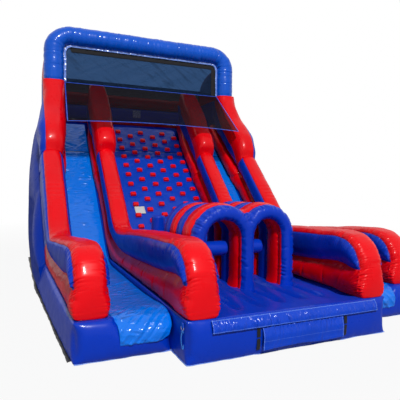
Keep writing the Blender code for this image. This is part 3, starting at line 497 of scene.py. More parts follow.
def vinyl(name, colour, painted=None, crease_shade_line=False, gloss=0.31, wrinkle=1.0, specular=0.14, creases=None,
          film=0.22):
    """Coated fabric: a smooth glossy film over a fine woven scrim. painted is a second colour, shown where
    the mark paint is above 0, with a dark line along its edge. Looks with a crease instead get a painted
    shade line where paint is 0: a dark stripe that stands in for the shadow in the crease."""
    look = material(name)
    place = look.place()
    slow = look.noise(place, 1.7, Detail=4.0)

    def shaded(tone):
        return look.mixed(slow, tinted(tone, 0.84), tinted(tone, 1.1))

    tone = shaded(colour)
    seam = []
    if painted or crease_shade_line:
        mark = look.mark("paint")
        if painted:
            tone = look.mixed(look.maths("GREATER_THAN", mark, 0.0), tone, shaded(painted))
        # A dark line where paint is near 0: on crease looks it is painted shade in the crease, on painted
        # looks the dark seam between the two colours
        away = look.maths("ABSOLUTE", mark)
        line = look.spread(away, 0.002, 0.008, 0.85 if crease_shade_line else 0.55, 0.0)
        tone = look.mixed(line, tone, tinted(colour, 0.15 if crease_shade_line else 0.35))
        seam = [(look.maths("MINIMUM", away, 0.012), 1.0, 0.35)]
    patches = look.noise(place, 6.0, Detail=5.0, Roughness=0.6)
    rough = look.spread(patches, 0.3, 0.7, gloss * 0.75, gloss * 1.35)
    edge_on = look.spread(look.add("ShaderNodeLayerWeight", {}, "Facing"), 0.65, 0.95, 0.0, 0.45)
    look.surface({"Base Color": tone, "Roughness": look.maths("ADD", rough, edge_on)})
    look.surface({"Specular IOR Level": specular})
    look.surface({"Coat Weight": film, "Coat Roughness": 0.10, "Coat IOR": 1.4})

    folds = []
    if creases:
        scale, stretch, turn, depth = creases
        ridges = look.noise(look.place(stretch, turn, "TEXTURE"), scale, "RIDGED_MULTIFRACTAL", Detail=2.0)
        folds = [(ridges, depth, 0.8)]
    crosswise = look.place(turn=(math.radians(90), 0, math.radians(90)))
    scrim = look.maths("MAXIMUM", look.waves(place, 420.0), look.waves(crosswise, 420.0))
    look.bumps(
        (look.noise(place, 5.0, Detail=1.0), 0.012, 0.30 * wrinkle),
        *folds,
        (look.noise(place, 26.0, Detail=1.0, Distortion=0.6), 0.0016, 0.15 * wrinkle),
        (scrim, 0.0001, 0.06),
        *seam,
    )
    return look


def stitched(name, colour, thread=PALE, gloss=0.22):
    """Sheet vinyl with pale thread along the lines where the mark stitch is near 0."""
    look = vinyl(name, colour, gloss=gloss, wrinkle=1.3, creases=STRIP_CREASES, film=0.36)
    tone = look.tree.nodes["Principled BSDF"].inputs["Base Color"].links[0].from_socket
    near = look.spread(look.maths("ABSOLUTE", look.mark("stitch")), 0.0012, 0.0034, 1.0, 0.0)
    run = look.maths("FRACT", look.maths("MULTIPLY", look.mark("run"), 90.0))
    share = look.maths("MULTIPLY", near, look.maths("GREATER_THAN", run, 0.22))
    look.surface({"Base Color": look.mixed(share, tone, thread)})
    return look


def netting(name, thread, through, cover, slant=None):
    """Open net: threads that cover a share of it, and between them what is behind, tinted."""
    look = material(name)
    place = look.place()
    fuzz = look.noise(place, 3.0, Detail=4.0)
    tone = look.mixed(fuzz, tinted(thread, 0.6), tinted(thread, 1.5))
    look.surface({"Base Color": tone, "Roughness": 0.6, "Specular IOR Level": 0.1})
    level = look.waves(look.place(turn=(0, math.radians(90), 0)), 160.0)
    weave = look.maths("MAXIMUM", look.waves(place, 160.0), level)
    tint = through
    if slant:
        folds = look.noise(look.place(*slant, "TEXTURE"), 1.0, Detail=2.0)
        off = look.maths("ABSOLUTE", look.maths("SUBTRACT", folds, 0.5))
        share = look.spread(off, 0.0, 0.030, 0.0, 1.0)
        tint = look.mixed(share, tinted(through, 0.62), tinted(through, 1.06))
    clear = look.add("ShaderNodeBsdfTransparent", {"Color": tint})
    solid = look.maths("GREATER_THAN", weave, 1 - cover)
    look.blended(solid, clear, look.tree.nodes["Principled BSDF"].outputs[0])
    look.bumps((weave, 0.0006, 0.5))
    return look


def woven(name, colour, scale=900.0):
    """Webbing or hook tape: close ribs across the strap."""
    look = material(name)
    fuzz = look.noise(look.place(), 240.0, Detail=3.0)
    tone = look.mixed(fuzz, tinted(colour, 0.7), tinted(colour, 1.25))
    look.surface({"Base Color": tone, "Roughness": 0.75, "Sheen Weight": 0.08, "Specular IOR Level": 0.2})
    look.bumps((look.waves(look.place(turn=(0, math.radians(90), 0)), scale), 0.0006, 0.6))
    return look


def steel(name):
    look = material(name)
    scratch = look.noise(look.place(), 300.0, Detail=4.0)
    tone = look.mixed(scratch, (0.62, 0.62, 0.64), (0.8, 0.8, 0.82))
    look.surface({"Base Color": tone, "Metallic": 1.0, "Roughness": 0.28})
    look.bumps((scratch, 0.0004, 0.3))
    return look


# Creases have a scale, a stretch, a turn and a depth
CLIMB_CREASES = (7.0, (1, 1, 4), (0, 0.6, 0), 0.030)
LINER_CREASES = (13.0, (4.5, 1, 1), (0, 0.25, 0.3), 0.048)
STRIP_CREASES = (20.0, (1, 1, 4), (0, 0.1, 0), 0.024)
WINDOW_FOLDS = ((2.2, 1, 0.16), (0, 0.62, 0))
CLIMB_BLUE = (0.0, 0.045, 0.48)
LOOKS = {
    "blue": vinyl("vinyl_blue", BLUE, film=0.20),
    "wall": vinyl("vinyl_wall", BLUE, painted=RED),
    # The climbing wall and the liner draw a painted shade line along their crease, where their paint mark is
    # 0
    "climb": vinyl("vinyl_climb", CLIMB_BLUE, crease_shade_line=True, wrinkle=1.2, creases=CLIMB_CREASES, film=0.26),
    # The arch: the blue made lighter and more azure, a painted sheen that stands in for the sky's reflection
    # along the tube
    "arch": vinyl("vinyl_arch_painted_sheen", (0.0, 0.092, 0.60), gloss=0.34, film=0.4),
    "red": vinyl("vinyl_red", RED),
    # The tower's sides: the blue made darker, painted shade for sides that face away from the key, and little
    # gloss
    "flank": vinyl("vinyl_flank_painted_shade", (0.0, 0.028, 0.34), specular=0.07, film=0.08),
    "liner": vinyl("vinyl_liner", AZURE, crease_shade_line=True, gloss=0.17, creases=LINER_CREASES, film=0.6),
    "strip": stitched("vinyl_strip", (0.0, 0.050, 0.54)),
    "binding": vinyl("vinyl_binding", (0.01, 0.07, 0.56), gloss=0.16, wrinkle=2.0, specular=0.5),
    # Pale blue: on the window's binding a painted glint standing in for the sparkle along its scallops; on
    # the hems at the bases' feet it is simply pale
    "pale_hem_and_painted_glint": vinyl("vinyl_pale_hem_and_painted_glint", (0.16, 0.28, 0.72), gloss=0.2, wrinkle=2.0, specular=0.5),
    "label": vinyl("vinyl_label", (0.62, 0.62, 0.6), gloss=0.35),
    "net_window": netting("net_window", (0.01, 0.03, 0.08), (0.032, 0.080, 0.190), 0.10, WINDOW_FOLDS),
    "net_entry": netting("net_entry", (0.005, 0.005, 0.008), (0.50, 0.49, 0.52), 0.15),
    "net_back": netting("net_back", (0.005, 0.005, 0.007), (0.06, 0.06, 0.07), 0.30),
    "black_tape": woven("tape_black", (0.012, 0.012, 0.014)),
    "black_sheet": vinyl("vinyl_black", (0.008, 0.008, 0.01), gloss=0.4),
    "strap": woven("webbing_azure", (0.05, 0.28, 0.8)),
    "steel": steel("steel_ring"),
}


def dress(obj, look, slot, nodes=(), body="slide", fill=None):
    """Gives a piece its material and the body that it rides on, and hides the model's nodes that it stands
    for.
    """
    obj.data.materials.append(LOOKS[look].owner)
    if body:
        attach(obj, body)
    if nodes:
        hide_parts(*nodes)
    return obj


def dressed_tube(name, grid, look, slot, nodes=(), marks=None, crease=None, **settings):
    """A closed tube over a grid whose rows are its rings."""
    obj = build(name, grid, tube_faces(*grid.shape[:2]), marks, crease)
    return dress(obj, look, slot, nodes, **settings)


def dressed_sheet(name, grid, look, slot, nodes=(), thick=0.0, centred=False, marks=None, wrap=False,
                  body="slide"):
    """An open sheet over a grid, with a real thickness if it is given one."""
    obj = build(name, grid, grid_faces(*grid.shape[:2], wrap), marks, closed=False)
    if thick:
        thicken(obj, thick, centred)
    return dress(obj, look, slot, nodes, body)


def thicken(obj, thick, centred=False):
    skin = obj.modifiers.new("thickness", "SOLIDIFY")
    skin.thickness = thick
    skin.offset = 0 if centred else -1


# Chambers shaped as boxes


def round_corner(place, flat, unit, low, high, side, corner):
    """Moves the points near one upright front corner of a box in onto an arc."""
    radius = corner * crown_at(2 * (place[:, 2] - low[2]) / (high[2] - low[2]) - 1, 3) + 1e-4
    edge = (low if side < 0 else high)[0] + (place[:, 0] - flat[:, 0]) * (side * unit[:, 0] > 0)
    dx = side * (place[:, 0] - (edge - side * radius))
    dy = (low[1] + radius) - place[:, 1]
    inside = (dx > 0) & (dy > 0)
    shrink = np.where(inside, np.maximum(dx, dy) / np.maximum(np.hypot(dx, dy), 1e-9), 1.0)
    place[:, 0] = np.where(inside, edge - side * radius + side * dx * shrink, place[:, 0])
    place[:, 1] = np.where(inside, low[1] + radius - dy * shrink, place[:, 1])


def pillow(name, low, high, node, look="blue", crown=None, power=(3, 3), cell=0.03, top=None, outward=None,
           detail=None, fold=0.006, seed=1, corner=0.0, root=1.0, ease=0):
    """A box whose named faces bulge between their seams, with puckers along every edge of those faces."""
    low, high = np.array(low, float), np.array(high, float)
    unit, faces = box_lattice(*(max(2, int(round(size / cell))) for size in high - low))
    half = (high - low) / 2
    place = (low + high) / 2 + half * unit
    if top:
        place[:, 2] = low[2] + (unit[:, 2] + 1) / 2 * (top(place) - low[2])
    flat = place.copy()
    if outward:
        sign, reach = outward
        out = reach(unit[:, 1], place[:, 1], (unit[:, 2] + 1) / 2)
        place[:, 0] += sign * out * (sign * unit[:, 0] + 1) / 2
    for face, height in (crown or {}).items():
        sign = -1 if face[0] == "-" else 1
        i = "xyz".index(face[1])
        j, k = (i + 1) % 3, (i + 2) % 3
        on = np.abs(unit[:, i] - sign) < 1e-6
        bulge = height * (crown_at(unit[on, j], power[0]) * crown_at(unit[on, k], power[1])) ** root
        for a, b, shift in ((j, k, 0), (k, j, 40)):
            for end in (-1, 1):
                away = half[b] * (1 - end * unit[on, b])
                bulge += puckers(flat[on, a], away, seed + shift + end + 3 * i, depth=fold)
        place[on, i] += sign * (bulge + dents(flat[on, j], flat[on, k], seed + 11))
    if corner:
        for side in (-1, 1):
            round_corner(place, flat, unit, low, high, side, corner)
    if detail:
        detail(unit, place)
    obj = build(name, place, faces, crease=None if ease else 60)
    if ease:
        calm = obj.modifiers.new("eased edges", "SMOOTH")
        calm.factor = 0.5
        calm.iterations = ease
    return dress(obj, look, "blue_vinyl", [node], fill=0.9)


def sided_pillow(name, sign, near, far, front, rear, foot, top_z, node, **settings):
    """A pillow between near and far on one side of the middle."""
    left, right = sorted((sign * near, sign * far))
    return pillow(name, (left, front, foot), (right, rear, top_z), node, **settings)


def platform_detail(unit, place):
    """Sewn channels along the platform's top, pinched shut short of the front edge."""
    on = unit[:, 2] > 1 - 1e-6
    x, y = place[on, 0], place[on, 1]
    dip = np.zeros_like(x)
    for n, line in enumerate(np.linspace(-CHANNEL_REACH, CHANNEL_REACH, CHANNELS)):
        away = x - line - 0.012 * noise(y / 0.5, n, 21)
        start = 0.16 + 0.05 * math.sin(5.1 * n)
        width = 0.042 + 0.015 * noise(y / 0.3, n + 0.5, 22)
        valley = 0.5 * bell(away, 1.6 * width) + 0.6 * bell(away, 0.022)
        dip = np.maximum(dip, step(start, start + 0.28, y) * valley)
    edge = step(0.0, 0.10, y) * step(PLATFORM_HALF, 1.25, np.abs(x))
    place[on, 2] += -CHANNEL_DEPTH * dip * edge + dents(x, y, 31, 0.003, 0.3)


def lane_top(place):
    """The lane base's top: its edge sinks towards the bumper's nose, and the lane lies lower behind it."""
    x, y = np.abs(place[:, 0]), place[:, 1]
    bumper = LANE_SETBACK + BUMPER_DEPTH
    sunk = step(bumper, bumper + BUMPER_SLOPE, y) * (LANE_BASE_HEIGHT - LANDING_HEIGHT + 0.012)
    sunk += 0.03 * step(2.4, 3.0, y)
    nose = step(LANE_OUTER, LANE_OUTER - 0.09, x) * step(LANE_SETBACK + 0.17, LANE_SETBACK - 0.02, y) ** 2
    return LANE_BASE_HEIGHT - (x < LANE_OUTER + 0.01) * sunk - 0.085 * nose


def lane_splay(across, y, up):
    along = (y - LANE_SETBACK) / (RAMP_SEAM_Y - LANE_SETBACK)
    return along * (FLANK_FOOT + (OUTER_SPREAD - FLANK_FOOT) * up)


def make_bases():
    bumper = dict(root=0.6, power=(2.0, 5), corner=0.12, ease=5, cell=0.025, fold=0.009)
    rear = RAMP_SEAM_Y - GAP
    pillow("platform_base", (-PLATFORM_HALF, 0, 0), (PLATFORM_HALF, rear, BASE_HEIGHT), "base_centre",
           crown={"-y": FRONT_CROWN + FULLER}, power=(2.0, 10), cell=0.022, detail=platform_detail,
           fold=0.012, corner=0.10, root=0.6, ease=3)
    for side, sign in SIDES.items():
        outer_face = "-x" if sign < 0 else "+x"
        sided_pillow(f"lane_base_{side}", sign, PLATFORM_HALF + GAP, HALF_WIDTH, LANE_SETBACK, rear, 0,
                     LANE_BASE_HEIGHT, f"base_lane_{side}", top=lane_top, outward=(sign, lane_splay),
                     crown={"-y": LANE_FRONT_CROWN + FULLER, outer_face: LANE_SIDE_CROWN + FULLER},
                     seed=5 + sign, **bumper)
    half, back = LANE_OUTER - GAP, BACK_PANEL_Y - GAP
    pillow("tower_base", (-half, RAMP_SEAM_Y, 0), (half, back, TOWER_BASE_HEIGHT), "base_rear", cell=0.12)


# Ramps


def above_ramp(y, height):
    return (y - height * math.sin(RAMP_ANGLE), y + RAMP_OFFSET + height * math.cos(RAMP_ANGLE))


def lane_profile(lift=0.0, steps=14):
    """The lane's surface in (y, z), from the start of its curve to the deck."""
    reach = LANE_CURVE * math.tan(RAMP_ANGLE / 2)
    centre = (LANDING_HEIGHT - RAMP_OFFSET - reach, LANDING_HEIGHT + LANE_CURVE)
    curve = arc(centre, LANE_CURVE - lift, -90, -90 + math.degrees(RAMP_ANGLE), steps)
    return [*curve, above_ramp(DECK_FRONT_Y - GAP, lift)]


def slab(name, profile, left, right, look, node, cell, shape, paint=None):
    """A cushion under an open (y, z) profile. shape gives its top's height off the profile at (x, along)."""
    profile = np.array(profile)
    rows = int(path_lengths(profile)[-1] / cell)
    line, at = even_line(profile, rows + 1)
    unit, faces = box_lattice(int((right - left) / cell), rows, 3)
    row = np.round((unit[:, 1] + 1) / 2 * rows).astype(int)
    x = left + (unit[:, 0] + 1) / 2 * (right - left)
    up = (unit[:, 2] - 1) / 2 * SLAB_THICKNESS
    on = unit[:, 2] > 1 - 1e-6
    up[on] += shape(x[on], at[row[on]])
    spot = line[row] + left_normals(line)[row] * up[:, None]
    marks = {"paint": paint(x, at[row], unit)} if paint else None
    obj = build(name, stacked(x, *spot.T), faces, marks, crease=50)
    return dress(obj, look, "blue_vinyl", [node], fill=0.8)


def climb_bow(x, along):
    """How far a point on the climbing wall lies above its crease, which bows up in the middle."""
    crease = (CLIMB_CREASE_Y - RAMP_SEAM_Y) / math.cos(RAMP_ANGLE)
    return along - (crease + 0.03 * crown_at(x / CLIMB_HALF, 2))


def climb_shape(x, along):
    height = dents(x, along, 51, 0.005, 0.22)
    fold = noise((x + 0.7 * along) / 0.07, (x - along) / 0.5, 52)
    height += 0.004 * np.clip(fold - 0.1, 0, 1) * (0.4 + 0.6 * step(1.4, 0.2, along))
    height += -0.016 * bell(climb_bow(x, along), 0.02)
    edge = CLIMB_HALF - np.abs(x)
    return height * step(0, 0.05, edge) - 0.02 * bell(edge, 0.05) - 0.002


# Paint mark for the painted shade line along the climbing wall's crease: 0 on the crease, on the top face
# only
def climb_crease_shade(x, along, unit):
    return np.where(unit[:, 2] > 0.9, 0.4 * climb_bow(x, along), 1.0)


def make_climbing_wall():
    profile = [(y, y + RAMP_OFFSET) for y in (RAMP_SEAM_Y + GAP, DECK_FRONT_Y - GAP)]
    half = CLIMB_HALF - GAP
    slab("climb_wall", profile, -half, half, "climb", "climbing_wall", 0.022, climb_shape, climb_crease_shade)


def on_ramp(x, y, height):
    return np.array((x, y, y + RAMP_OFFSET)) + height * OFF_RAMP


def hold_places():
    rows = int((HOLD_TOP_Y - RAMP_SEAM_Y - HOLD_SIZE[1]) / HOLD_SPACING_Y)
    middle = HOLD_COLUMNS // 2
    for column in range(-middle, middle + 1):
        lower = 0.5 * HOLD_SPACING_Y if column % 2 else 0
        for row in range(rows):
            yield column * HOLD_SPACING_X, HOLD_TOP_Y - lower - row * HOLD_SPACING_Y


def make_wall_label():
    x, y = WALL_LABEL_AT
    patch_label("wall_label", on_ramp(x, y, 0.018), UPHILL, OFF_RAMP)


def make_holds():
    """Soft blocks, each on a thin plate of the wall's colour."""
    unit, block_faces = box_lattice(6, 5, 4)
    soft = unit / (np.abs(unit) ** 8).sum(axis=1, keepdims=True) ** 0.125
    soft[:, :2] *= 1 - 0.08 * (soft[:, 2:] + 1) / 2
    plate, plate_faces = box_lattice(4, 4, 1)
    points, quads, marks = [], [], []
    count = 0
    for n, (x, y) in enumerate(hold_places()):
        turn = 0.05 * float(lattice(n, 0, 61))
        across = RIGHT * math.cos(turn) + UPHILL * math.sin(turn)
        along = UPHILL * math.cos(turn) - RIGHT * math.sin(turn)
        wide = HOLD_SIZE[0] * (1 + 0.06 * float(lattice(n, 1, 62)))
        high = HOLD_SIZE[1]
        for form, faces, sizes, lift, tone in (
            (soft, block_faces, (0.62 * wide, 0.64 * high, 0.040), 0.02, 1.0),
            (plate, plate_faces, (0.76 * wide, 0.80 * high, 0.004), 0.003, -1.0),
        ):
            points.append(on_ramp(x, y, lift) + (form * sizes) @ np.stack((across, along, OFF_RAMP)))
            quads.append(faces + count)
            marks.append(np.full(len(form), tone))
            count += len(form)
    paint = {"paint": np.concatenate(marks)}
    holds = build("climb_holds", np.concatenate(points), np.concatenate(quads), paint, crease=60)
    dress(holds, "wall", "red_vinyl", ["climbing_wall"], fill=0.9)


def patch_label(name, spot, over, normal):
    """A blank sewn patch, a little uneven."""
    wide, high = LABEL_HALF
    across, up = np.meshgrid(np.linspace(-wide, wide, 12), np.linspace(-high, high, 10), indexing="ij")
    lift = 0.004 * noise(across / 0.06, up / 0.06, 71)
    grid = spot + across[..., None] * RIGHT + up[..., None] * over + lift[..., None] * normal
    label = dressed_sheet(name, grid, "label", None, thick=0.001)


def make_beds():
    for side, sign in SIDES.items():
        left, right = sorted((sign * (PLATFORM_HALF + 0.002), sign * (LANE_OUTER - 0.002)))
        slab(f"lane_bed_{side}", lane_profile(), left, right, "blue", f"slide_bed_{side}", 0.05,
             lambda x, along: np.full_like(x, -0.022))


def liner_line():
    """The liners' way in (y, z): down the bumper's nose, over its top, along the landing and up the ramp."""
    front = LANE_SETBACK - LANE_FRONT_CROWN - 0.006
    bumper = LANE_SETBACK + BUMPER_DEPTH
    keys = [
        (front - 0.012, 0.165),
        (front - 0.022, 0.25),
        (front - 0.008, 0.315),
        (front + 0.03, LANE_BASE_HEIGHT - 0.075),
        (front + 0.09, LANE_BASE_HEIGHT - 0.035),
        (front + 0.17, LANE_BASE_HEIGHT - 0.008),
        (front + 0.28, LANE_BASE_HEIGHT + 0.005),
        (bumper - 0.02, LANE_BASE_HEIGHT + 0.001),
        (bumper + 0.30, LANDING_HEIGHT + 0.030),
        (bumper + 0.75, LANDING_HEIGHT + 0.010),
        (2.0, LANDING_HEIGHT + 0.004),
        *lane_profile(0.004),
    ]
    line = smooth_path(keys, lambda at: 0.012 if at < 2.6 else 0.022)
    line[:, 1] = np.where(line[:, 0] > bumper, np.maximum(line[:, 1], LANDING_HEIGHT + 0.003), line[:, 1])
    return line


def make_liners():
    """Azure sheets over the lanes, each with a tab that hangs over its bumper."""
    line = liner_line()
    lengths = path_lengths(line)
    s = lengths[:, None]
    across = np.linspace(0, 1, 56)
    near = np.interp(s, (0, 0.05, 0.16, TAB_LENGTH), (1.50, 1.42, 1.385, PLATFORM_HALF + 0.012))
    far = np.interp(s, (0, 0.22, TAB_LENGTH), (1.962, 1.985, LANE_OUTER - 0.012))
    x = near + (far - near) * across
    up = 0.003 * (1 + noise(s / 0.30, x / 0.16, 81))
    slant = s + 1.1 * x
    fold = noise(slant / 0.075, (x - 0.4 * s) / 0.5, 82)
    up += 0.012 * np.clip(fold - 0.15, 0, 1) * (0.5 + 0.5 * noise(s / 0.9, x / 0.5, 83))
    ridge = np.abs(noise((s - 0.35 * x) / 0.06, x / 0.35, 85))
    up += 0.014 * np.clip(0.3 - ridge, 0, 1) * (0.6 + 0.6 * noise(s / 0.5, x / 0.5, 86))
    # Distance from the crease: a real dip below, and the paint mark for a painted shade line drawn along it
    bow = s - np.interp(LINER_CREASE_Y, line[:, 0], lengths) - 0.02 * np.sin(np.pi * across)
    up += -0.014 * bell(bow, 0.02)
    sharp = np.abs(noise(slant / 0.055, (x + s) / 0.3, 84))
    up += 0.022 * step(1.1, 0.2, s) * np.clip(0.5 - sharp, 0, 1)
    tiny = np.abs(noise((s + 0.5 * x) / 0.030, (x - 0.6 * s) / 0.09, 87))
    up += 0.006 * step(0.9, 0.3, s) * np.clip(0.45 - tiny, 0, 1)
    up *= step(0, 0.03, np.minimum(across, 1 - across) * (far - near)) * 0.7 + 0.3
    y, z = offset(line, left_normals(line), up)
    for side, sign in SIDES.items():
        liner = dressed_sheet(f"liner_{side}", stacked(sign * x, y, z), "liner", "azure_vinyl",
                              [f"slide_liner_{side}"], thick=0.002, marks={"paint": 0.4 * bow})


# Side walls


def wall_span(faces, y):
    """Half a wall's width and the x of its middle, at each y."""
    at, near, far = np.array(faces).T
    near, far = np.interp(y, at, near), np.interp(y, at, far)
    return 0.5 * (far - near), 0.5 * (far + near)


def wall_keys(front, base, drop, top):
    """(floor, groove, crest) points in (y, z) from a wall's front foot, over its fist and up the ramp."""
    low, groove, crest = base + GAP, FIST_GROOVE_Z - drop, FIST_TOP_Z - drop
    rims = [
        (front + 0.006, low + 0.002),
        (front - 0.004, low + 0.07),
        (front - 0.012, low + 0.20),
        (front - 0.008, groove - 0.08),
        (front + 0.002, groove + 0.01),
        (front + 0.014, groove + 0.08),
        (front + 0.045, crest - 0.235),
        (front + 0.095, crest - 0.150),
        (front + 0.165, crest - 0.085),
        (front + 0.260, crest - 0.028),
    ]
    fan = []
    for n, rim in enumerate(rims):
        foot = (front + 0.45 + 0.004 * n, low)
        fan.append((foot, tuple(0.5 * (a + b) for a, b in zip(foot, rim)), rim))
    level = [
        ((front + 0.52, low), (front + 0.50, groove - 0.045), (front + 0.37, crest)),
        ((front + 0.92, low), (front + 0.90, groove - 0.088), (front + 0.86, crest - 0.005)),
        ((1.95, low), (1.93, groove - 0.155), (1.90, crest - 0.057)),
        ((2.75, low), (2.68, groove - 0.185), (2.60, crest - 0.12)),
        ((3.40, low), (3.20, groove - 0.185), (3.05, crest - 0.172)),
        ((3.80, low), (3.55, groove - 0.13), (3.38, crest - 0.19)),
    ]
    heights = (GAP, LOWER_TUBE, LOWER_TUBE + UPPER_TUBE)
    ramp = [tuple(above_ramp(y, up) for up in heights) for y in (4.16, 4.60, top)]
    return fan, level + ramp


def both_sides(outer, inner):
    """A ring of values: one side from floor to crest, then the other side back down."""
    return np.concatenate((outer, inner[:, -2:0:-1]), 1)


def wall_folds(s, y, end, fist, at_front, fade, over_groove, from_seam, from_crest, from_floor, seed, side):
    """The puckers and creases of side 0 or 1 of a wall, as heights off its skin."""
    own = seed + 17 * side
    fold = (0.25 + 0.35 * (1 - fist)) * puckers(s, from_seam, own, size=0.040, reach=0.13, depth=0.010)
    fold += fist * puckers(s, from_seam, own + 60, size=0.018, reach=0.105, depth=0.026)
    fold += -0.008 * step(-0.03, 0.02, over_groove) * bell(from_seam, 0.014)
    groove_folds = puckers(s * 1.3, over_groove, own + 3, size=0.07, reach=0.08, depth=0.007)
    fold += (0.4 + 0.6 * fist) * groove_folds * fade
    fold += (1 - at_front) * puckers(y, from_floor, own + 5, size=0.06, reach=0.09, depth=0.008)
    fold += dents(s, from_crest, seed + 9 + side, 0.003, 0.25)
    fold += puckers(from_crest, end, seed + 13 + side, size=0.04, reach=0.09, depth=0.010)
    fold += -0.012 * step(0.30, 0.12, from_floor) * bell(s % 0.52 - 0.26, 0.018) * (1 - fist)
    return fold


def wall_skin(name, sign, faces, front, base, drop, top, ramp_seam, seed):
    """A wall's two stacked tubes with their common front, one skin."""
    fan, rest = wall_keys(front, base, drop, top)
    line = smooth_path(fan + rest, lambda at: 0.0065 if at < 1.3 else 0.016 if at < 2.3 else 0.036)
    floor, groove, crest = line[:, 0], line[:, 1], line[:, 2]
    crest_at = path_lengths(crest)[:, None]

    # Each side runs from the floor over the groove to the crest, closest together at the crest
    low_share = 0.5 - 0.5 * np.cos(np.linspace(0, math.pi, 20))
    high_share = (1 - (1 - np.linspace(0, 1, 30)) ** 1.6)[1:]
    lower_part = floor[:, None] + (groove - floor)[:, None] * low_share[:, None]
    upper_part = groove[:, None] + (crest - groove)[:, None] * high_share[:, None]
    side_line = np.concatenate((lower_part, upper_part), 1)
    low_length = np.linalg.norm(groove - floor, axis=1)[:, None]
    high_length = np.linalg.norm(crest - groove, axis=1)[:, None]
    from_floor = np.concatenate((low_length * low_share, low_length + high_length * high_share), 1)
    from_crest = low_length + high_length - from_floor
    y, z = side_line[..., 0], side_line[..., 1]
    half, middle = wall_span(faces, y)

    # Height over the groove, which in the fan of rows round the fist is measured upright
    fan_end = crest_at[np.argmin(np.abs(crest[:, 0] - rest[0][2][0]) + 5 * (crest[:, 1] < 0.6))]
    is_fan = crest_at < fan_end
    groove_at = np.linspace(front, 4.2, 60)
    groove_z = np.interp(groove_at, [keys[1][0] for keys in rest], [keys[1][1] for keys in rest])
    over_groove = np.where(is_fan, z - np.interp(y, groove_at, groove_z), from_floor - low_length)
    risen = z - base - GAP

    # The width: pinched at the groove, round at the crest, and full in each tube
    at_front = step(front + 0.75, front + 0.15, y)
    fade = 0.08 + 0.92 * step(front + 0.05, front + 0.42, y)
    lobe = (rounded(np.abs(over_groove) / 0.25, 2.6) ** 6 + 0.60**6) ** (1 / 6)
    squeeze = 1 - fade * (1 - np.minimum(lobe, 1.0))
    pinched = step(0.22, 0.02, risen) * at_front
    cap = rounded(from_crest / 0.25, 2.7 + 0.8 * step(1.6, 0.9, crest_at) + 6 * pinched)
    foot = rounded(from_floor / (0.05 - 0.03 * pinched), 3)
    height = np.where(is_fan, risen, from_floor)
    share = np.clip(height / np.maximum(height - over_groove, 0.05), 0, 1)
    belly = 0.86 + 0.10 * np.sin(np.pi * share**0.8) ** 0.7
    belly += at_front * (0.86 + 0.27 * np.sin(np.pi * 0.84 * share**0.75) - belly)
    seam_at = 0.082 + (ramp_seam - 0.082) * step(3.0, 4.1, crest[:, :1])
    beyond = np.clip((from_crest - seam_at) / np.maximum(from_crest - seam_at + over_groove, 0.05), 0, 1)
    swell = 1 + 0.17 * at_front * np.sin(np.pi * beyond) ** 0.7
    above = np.maximum(swell, 1 + (belly - 1) * step(0.05, 0.0, over_groove))
    belly = np.where(over_groove > 0, above, belly)
    end = crest_at[-1] - crest_at
    width = half * squeeze * cap * foot * belly * (1 - 0.10 * bell(end, 0.05))

    # Red above the top seam and below the blue band
    ribbon = seam_at - from_crest
    band = 0.042 * step(front + 0.15, front + 0.65, y) - 0.022
    inner_paint = np.maximum(ribbon, band - over_groove)
    outer_paint = np.maximum(ribbon, np.minimum(band - over_groove, RAMP_SEAM_Y - y)) if drop else inner_paint
    marks = both_sides(*(outer_paint, inner_paint)[::sign])
    section = stacked(width, y, z)
    runs = np.linalg.norm(np.diff(section, axis=1), axis=2)
    around = np.concatenate((np.zeros((len(line), 1)), np.cumsum(runs, axis=1)), 1)
    seam_around = [np.interp(-at, -away, run) for at, away, run in zip(seam_at[:, 0], from_crest, around)]
    from_seam = around - np.array(seam_around)[:, None]

    grid = both_sides(stacked(sign * middle + width, y, z), stacked(sign * middle - width, y, z))
    s = crest_at + 0 * y
    fist = 1 - step(0.9, 1.6, s)
    known = (s, y, end, fist, at_front, fade, over_groove, from_seam, from_crest, from_floor, seed)
    move = both_sides(wall_folds(*known, 0), wall_folds(*known, 1))

    # Bent creases across the top where the wall turns up the ramp
    x_share = both_sides(width / half, -width / half)
    late = crest_at[:, 0] > 2
    bend = float(np.interp(4.05, crest[late, 0], crest_at[late, 0]))
    top_share = step(-0.02, 0.06, ribbon)
    on_top, ring_s = both_sides(top_share, top_share), both_sides(s, s)
    for n in range(4):
        away = ring_s - (bend + 0.05 + 0.11 * n + 0.045 * x_share**2)
        move += -(0.010 - 0.0018 * n) * on_top * bell(away, 0.012)
        move += 0.005 * on_top * bell(away - 0.03, 0.02)
    grid = grid + grid_normals(grid) * move[..., None]
    centre = grid[-1].mean(axis=0)
    closing = [centre + (grid[-1] - centre) * share for share in (0.8, 0.5, 0.15)]
    grid = np.concatenate((grid, closing))
    marks = np.concatenate((marks, np.tile(marks[-1:], (3, 1))))
    nodes = [f"{name}_lower_tube", f"{name}_upper_tube"]
    dressed_tube(f"{name}_tubes", grid, "wall", "red_vinyl", nodes, {"paint": marks}, fill=0.95)


